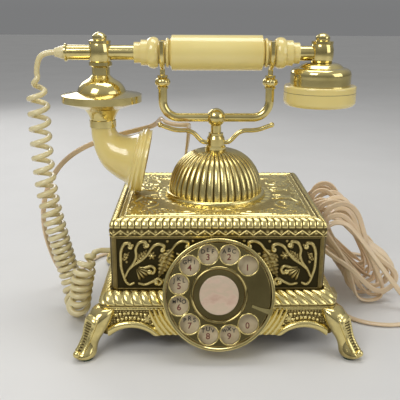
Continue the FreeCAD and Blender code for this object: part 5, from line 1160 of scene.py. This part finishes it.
def add_legs():
    """On each leg's outer face: a hooded channel crossed by bars, edge mouldings, and a bead on the toe."""
    dense = flow(LEG_SECTIONS, LEG_STEPS)
    rise, share = np.meshgrid(np.linspace(LEG_LOW, LEG_HIGH, LEG_ROWS), np.linspace(-1, 1, LEG_COLS),
                              indexing="ij")
    reach, depth, width = [np.interp(rise, dense[:, 0], dense[:, k]) for k in (1, 2, 3)]
    angle = share * LEG_SWING
    across = LEG_HALF * width * np.sin(angle)
    up = np.linspace(CHANNEL_LOW, CHANNEL_TOP, 60)
    over = np.linspace(math.pi, 0, 40)
    path_rise = np.concatenate([up, CHANNEL_TOP + CHANNEL_ARCH * np.sin(over), up[::-1]])
    path_share = np.concatenate([-np.ones(len(up)), np.cos(over), np.ones(len(up))])
    path_across = path_share * CHANNEL_HALF * np.interp(path_rise, dense[:, 0], dense[:, 3])
    z = LEG_RISE * rise
    hood = ridge(across, z, np.stack([path_across, LEG_RISE * path_rise], -1), HOOD_HALF, HOOD_HEIGHT)
    bars = np.abs(np.sin(np.pi * (rise - CHANNEL_LOW) / BAR_PITCH)) ** 0.8
    inside = smooth((CHANNEL_HALF * width - np.abs(across)) / CHANNEL_FADE)
    inside = inside * smooth((BARS_END - rise) / BARS_FADE)
    edges = smooth((1 - np.abs(share)) / SIDE_FADE)
    edges = edges * smooth((rise - LEG_LOW) / LEG_FADE) * smooth((LEG_HIGH - rise) / LEG_FADE)
    height = np.maximum(hood, BAR_GROUND + BAR_HEIGHT * bars * inside) * edges - LEG_DIP * (1 - edges)
    relief = np.where(inside > 0.5, np.maximum(0.9 * bars - 0.25, hood), 1.0)
    out = LEG_REACH * reach + (LEG_HALF * depth + height) * np.cos(angle)
    side = (LEG_HALF * width + height) * np.sin(angle)
    low_out, low_side = out - (height + LEG_SINK) * np.cos(angle), side - (height + LEG_SINK) * np.sin(angle)
    lat, turn = np.meshgrid(np.linspace(TOE_POLE, math.pi - TOE_POLE, TOE_ROWS), circle(TOE_SIDES),
                            indexing="ij")
    toe = [TOE_REACH + TOE_RADIUS * np.sin(lat) * np.cos(turn), TOE_RADIUS * np.sin(lat) * np.sin(turn),
           TOE_RISE + TOE_RADIUS * np.cos(lat)]
    for sx, sy, name in LEGS:
        heading = math.atan2(sy, sx)
        c, s = math.cos(heading), math.sin(heading)
        grids = [(sx * CORNER_X + o * c - w * s, sy * CORNER_Y + o * s + w * c, LEG_FOOT + h)
                 for o, w, h in ((out, side, z), (low_out, low_side, z), toe)]
        top, low, ball = [np.stack(grid, -1) for grid in grids]
        make_shell("leg_relief_" + name, top, low, CAST, relief)
        capped("toe_" + name, ball, "base", POLISHED)


# Turned pieces

DOME_RADIUS, DOME_TOP, DOME_HEIGHT, DOME_BULGE, DOME_RIBS, DOME_STEPS = 36.8, 8.5, 33.5, 1.5, 40, 14
DOME_FADE = 0.25    # radians below the top over which the ribs run out
# radius and height of the plinth and of the hollow underneath
DOME_FOOT = np.array([(40.2, 101.05), (41.0, 101.3), (41.0, 103.2), (40.6, 104.2), (39.6, 105.0),
                      (38.6, 105.3), (37.6, 105.0)])
DOME_INSIDE = np.array([(8.0, 138.2), (18.0, 134.0), (30.0, 122.0), (35.0, 105.0), (36.0, 101.1)])
HORN_OUTER = [
    # x and z along the outside of the horn's bend, from its neck to its lip
    (-100.5, 157), (-100.2, 150), (-99, 143), (-96.6, 134), (-91.3, 124.2), (-82, 116), (-75, 111.5),
    (-72, 107.4), (-69.6, 104.4), (-66, 103.4), (-61.5, 103.6),
]
HORN_INNER = [
    # and along the inside
    (-81.1, 157), (-80.3, 154), (-78.6, 151.6), (-75.4, 150), (-71, 149.5), (-66.5, 150), (-62.8, 151.6),
    (-60.6, 153.2), (-58.2, 154.8), (-55, 155), (-51.2, 153),
]
HORN_WALL, HORN_SIDES, HOLLOW_END, HOLLOW_STEP = 2.2, 80, 8, 4
LIP_START, LIP_FADE, LIP_FIRST, LIP_RIDGE = 6.6, 0.3, 7, 0.5    # all but the ridge count outline points
EAR_X, EAR_WALL = 82.2, 1.2
EAR_PROFILE = [
    # radius and height, from the crown down
    (8.4, 207.9), (12.0, 207.7), (15.0, 206.6), (17.0, 205.0), (17.8, 204.3), (18.8, 204.2), (21.2, 203.5),
    (23.0, 201.9), (23.8, 199.6), (23.8, 196.0), (23.8, 191.0), (23.7, 186.0),
]
EAR_STEPS, HORN_STEPS, DOME_ROWS, KNOB_ROWS = 6, 12, 44, 22
CAP_RADIUS, CAP_LINE, SEAM_OUT, SEAM_HALF, SEAM_SIDES = 28.5, 185.4, 0.05, 0.16, 10
KNOB_X, KNOB_Z, KNOB_HALF, KNOB_WAIST, KNOB_SWELL, KNOB_CORE = 42.5, 192.5, 3.3, 3.5, 1.9, 2.0
KNOB_LEAVES, KNOB_LEAF_HEIGHT = 6, 0.7
SPUN_SIDES = 96


def add_dome():
    """Ribbed dome on its plinth: a lathe profile whose radius swells at each rib, hollow underneath."""
    slope = np.linspace(0, math.pi / 2, DOME_ROWS)
    ring = DOME_TOP + (DOME_RADIUS - DOME_TOP) * np.cos(slope)
    radius = np.concatenate([DOME_FOOT[:, 0], ring, DOME_INSIDE[:, 0]])
    z = np.concatenate([DOME_FOOT[:, 1], Z_DOME + DOME_HEIGHT * np.sin(slope), DOME_INSIDE[:, 1]])
    bulge = DOME_BULGE * ring / DOME_RADIUS * smooth((math.pi / 2 - slope) / DOME_FADE)
    swell = np.concatenate([0 * DOME_FOOT[:, 0], bulge, 0 * DOME_INSIDE[:, 0]])[:, None]
    turn = circle(DOME_RIBS * DOME_STEPS)
    rib = np.abs(np.cos(DOME_RIBS / 2 * turn)) ** 0.75
    r = radius[:, None] + swell * rib
    points = np.stack([r * np.cos(turn), r * np.sin(turn), z[:, None] + 0 * turn], -1)
    worn = np.where(swell > 0, rib, 1.0)
    quads = grid_quads(len(z), len(turn), True, True)
    dome = make_piece("ribbed_dome", points, quads, "base", CAST, worn)
    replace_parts(dome, "dome")


def add_mouthpiece():
    """Horn: rings that span the two sides of its bend, with ridges round the lip, and hollow inside."""
    outer, inner = flow(HORN_OUTER, HORN_STEPS), flow(HORN_INNER, HORN_STEPS)
    step = np.linspace(0, len(HORN_OUTER) - 1, len(outer))
    half = np.linalg.norm(outer - inner, axis=1) / 2
    way = (outer - inner) / (2 * half)[:, None]
    middle = (outer + inner) / 2
    ridged = half + smooth((step - LIP_START) / LIP_FADE) * LIP_RIDGE * np.cos(2 * np.pi * (step - LIP_FIRST))
    back = np.arange(len(outer) - 1, HOLLOW_END, -HOLLOW_STEP)
    radius = np.concatenate([ridged, half[back] - HORN_WALL])[:, None]
    middle, way = np.concatenate([middle, middle[back]])[:, None], np.concatenate([way, way[back]])[:, None]
    turn = circle(HORN_SIDES)
    plan = middle + way * (radius * np.cos(turn))[..., None]
    points = np.stack([plan[..., 0], radius * np.sin(turn), plan[..., 1]], -1)
    quads = grid_quads(len(points), HORN_SIDES, True, True)
    horn = make_piece("mouth_horn", points, quads, "handset", IVORY)
    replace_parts(horn, "mouthpiece")


def spun(name, profile, middle, body, finish, lobes=0, depth=0.0):
    """A closed profile of radius, height and swell turned about a vertical; the swell bulges into lobes."""
    turn = circle(SPUN_SIDES)
    radius = profile[:, :1] + depth * profile[:, 2:] * np.abs(np.cos(lobes / 2 * turn)) ** 0.7
    points = np.stack([middle + radius * np.cos(turn), radius * np.sin(turn), profile[:, 1:2] + 0 * turn], -1)
    return make_piece(name, points, grid_quads(len(profile), len(turn), True, True), body, finish)


def add_receiver():
    """Ear cup: a lathe of an ogee crown and a round shoulder, hollow below; and the seam round the cap."""
    outer = flow(EAR_PROFILE, EAR_STEPS)
    inner = (outer - EAR_WALL)[::-1]
    inner[:, 0] = np.maximum(inner[:, 0], outer[0, 0])
    profile = np.concatenate([outer, inner[:-EAR_STEPS]])
    cup = spun("ear_cup", np.column_stack([profile, 0 * profile[:, 0]]), EAR_X, "handset", POLISHED)
    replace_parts(cup, "receiver_cup")
    turn = circle(SEAM_SIDES)
    seam = np.stack([CAP_RADIUS + SEAM_OUT * np.cos(turn), CAP_LINE + SEAM_HALF * np.sin(turn), 0 * turn], -1)
    spun("cap_seam", seam, EAR_X, "handset", BAKELITE)


def add_knobs():
    """Six upright leaves round each fork's knob, on a turned core."""
    t = np.linspace(-1, 1, KNOB_ROWS)
    radius = KNOB_WAIST + KNOB_SWELL * np.sqrt(1 - t ** 2)
    outer = np.stack([radius, KNOB_Z + KNOB_HALF * t, np.cos(np.pi / 2 * t)], -1)
    inner = np.array([(KNOB_CORE, KNOB_Z + KNOB_HALF, 0.0), (KNOB_CORE, KNOB_Z - KNOB_HALF, 0.0)])
    profile = np.concatenate([outer, inner])
    for middle, name in ((-KNOB_X, "knob_leaves_left"), (KNOB_X, "knob_leaves_right")):
        spun(name, profile, middle, "cradle", POLISHED, KNOB_LEAVES, KNOB_LEAF_HEIGHT)


# Dial

HOLE_CIRCLE, HOLE_RADIUS, FIRST_HOLE, HOLE_STEP, CARD_FACE = 30.0, 7.1, 45.0, 30.0, -5.8
HOLES, RIM_SIDES, RIM_TURNS, RIM_OUT, RIM_HALF, RIM_LIFT = 10, 10, 48, 0.35, 0.55, 0.1
LETTERS = ("", "ABC", "DEF", "GHI", "JKL", "MNO", "PRS", "TUV", "WXY", "")
FIGURE_SIZE, FIGURE_DROP, FIGURE_BOLD = 6.4, 2.4, 0.08
LETTER_SIZE, LETTER_STEP, LETTER_RISE, LETTER_ARC, LETTER_BOLD = 4.4, 10.6 / 3, 2.9, 1.1, 0.055
BROAD_LETTERS, BROAD_SHARE = "MW", 0.80
INK_THICK, INK_LIFT, INK_STEPS = 0.05, 0.03, 4
WELD = 1e-7        # metres
PEARL_RADIUS, PEARL_LOW, PEARL_TOP, PEARL_SINK, PEARL_EDGE = 14.2, 0.5, 2.9, 1.3, 0.5
PEARL_SIDES, PEARL_ROWS, PEARL_BENDS, PEARL_POLE = 72, 24, 7, 0.02


def dial_place(u, v, w):
    """Right, up and out on the dial's own face."""
    right, up, out = [np.multiply.outer(a, way) for a, way in ((u, (1, 0, 0)), (v, DIAL_UP), (w, DIAL_OUT))]
    return DIAL_CENTRE + right + up + out


def add_dial():
    """A rolled rim round each finger hole, and the printed figures and letters under them."""
    hole = np.radians(FIRST_HOLE + HOLE_STEP * np.arange(HOLES))
    u, v = HOLE_CIRCLE * np.cos(hole), HOLE_CIRCLE * np.sin(hole)
    turn, bead = np.meshgrid(circle(RIM_TURNS), circle(RIM_SIDES))
    out = HOLE_RADIUS + RIM_OUT + RIM_HALF * np.cos(bead)
    lift = RIM_LIFT + RIM_HALF * np.sin(bead)
    rims = [dial_place(a + out * np.cos(turn), b + out * np.sin(turn), lift) for a, b in zip(u, v)]
    quads = [grid_quads(RIM_SIDES, RIM_TURNS, True, True) + RIM_SIDES * RIM_TURNS * k for k in range(HOLES)]
    make_piece("hole_rims", np.array(rims), np.concatenate(quads), "dial", POLISHED)
    figures = [(str((k + 1) % HOLES), u[k], v[k] - FIGURE_DROP, FIGURE_SIZE) for k in range(HOLES)]
    letters = []
    for k, word in enumerate(LETTERS):
        for i, mark in enumerate(word):
            place = i - (len(word) - 1) / 2
            size = LETTER_SIZE * (BROAD_SHARE if mark in BROAD_LETTERS else 1.0)
            spot = (u[k] + LETTER_STEP * place, v[k] + LETTER_RISE - LETTER_ARC * place ** 2)
            letters.append((mark, *spot, size))
    add_print("dial_figures", figures, RED_INK, FIGURE_BOLD)
    add_print("dial_letters", letters, BLACK_INK, LETTER_BOLD)


def add_button():
    """The centre's shell disc: rings of a shallow dish, a rounded edge and a flat back."""
    dish = np.linspace(PEARL_POLE, PEARL_RADIUS - PEARL_EDGE, PEARL_ROWS)
    bend = np.linspace(0, math.pi / 2, PEARL_BENDS)[1:]
    edge = PEARL_RADIUS - PEARL_EDGE * (1 - np.sin(bend))
    radius = np.concatenate([dish, edge, [PEARL_RADIUS, PEARL_POLE]])
    out = np.concatenate([PEARL_TOP - PEARL_SINK * (1 - (dish / dish[-1]) ** 2),
                          PEARL_TOP - PEARL_EDGE * (1 - np.cos(bend)), [PEARL_LOW, PEARL_LOW]])
    turn = circle(PEARL_SIDES)
    radius, out = radius[:, None], out[:, None]
    rings = dial_place(radius * np.cos(turn), radius * np.sin(turn), out + 0 * turn)
    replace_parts(capped("pearl_disc", rings, "dial", PEARL), "centre_button")


def add_print(name, marks, finish, bold):
    """Marks on the dial card: the outline of each, grown by bold, filled and given a thickness."""
    shell = bmesh.new()
    for mark, u, v, size in marks:
        shape = bpy.data.curves.new("mark", "FONT")
        shape.body, shape.size, shape.extrude, shape.offset = mark, size, INK_THICK, bold
        shape.align_x, shape.align_y, shape.resolution_u = "CENTER", "CENTER", INK_STEPS
        holder = bpy.data.objects.new("mark", shape)
        flat = bpy.data.meshes.new_from_object(holder)
        place = Matrix.Identity(4)
        for k, axis in enumerate(((1, 0, 0), DIAL_UP, DIAL_OUT)):
            place.col[k].xyz = Vector(axis) * MM
        place.translation = Vector(metres(dial_place(u, v, CARD_FACE + INK_LIFT)))
        flat.transform(place)
        shell.from_mesh(flat)
        bpy.data.objects.remove(holder)
        bpy.data.meshes.remove(flat)
    bmesh.ops.remove_doubles(shell, verts=shell.verts, dist=WELD)
    bmesh.ops.recalc_face_normals(shell, faces=shell.faces)
    mesh = bpy.data.meshes.new(name)
    shell.to_mesh(mesh)
    shell.free()
    mesh.materials.append(finish)
    piece = add_object(name, mesh)
    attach(piece, "base")


dress_nodes()
add_camera()
add_lights()
add_room()
add_floor()
add_cords()
add_front_panels()
add_side_panels()
add_skirts()
add_lid_band()
add_rope_band()
add_lid_top()
add_legs()
add_dome()
add_mouthpiece()
add_receiver()
add_knobs()
add_dial()
add_button()
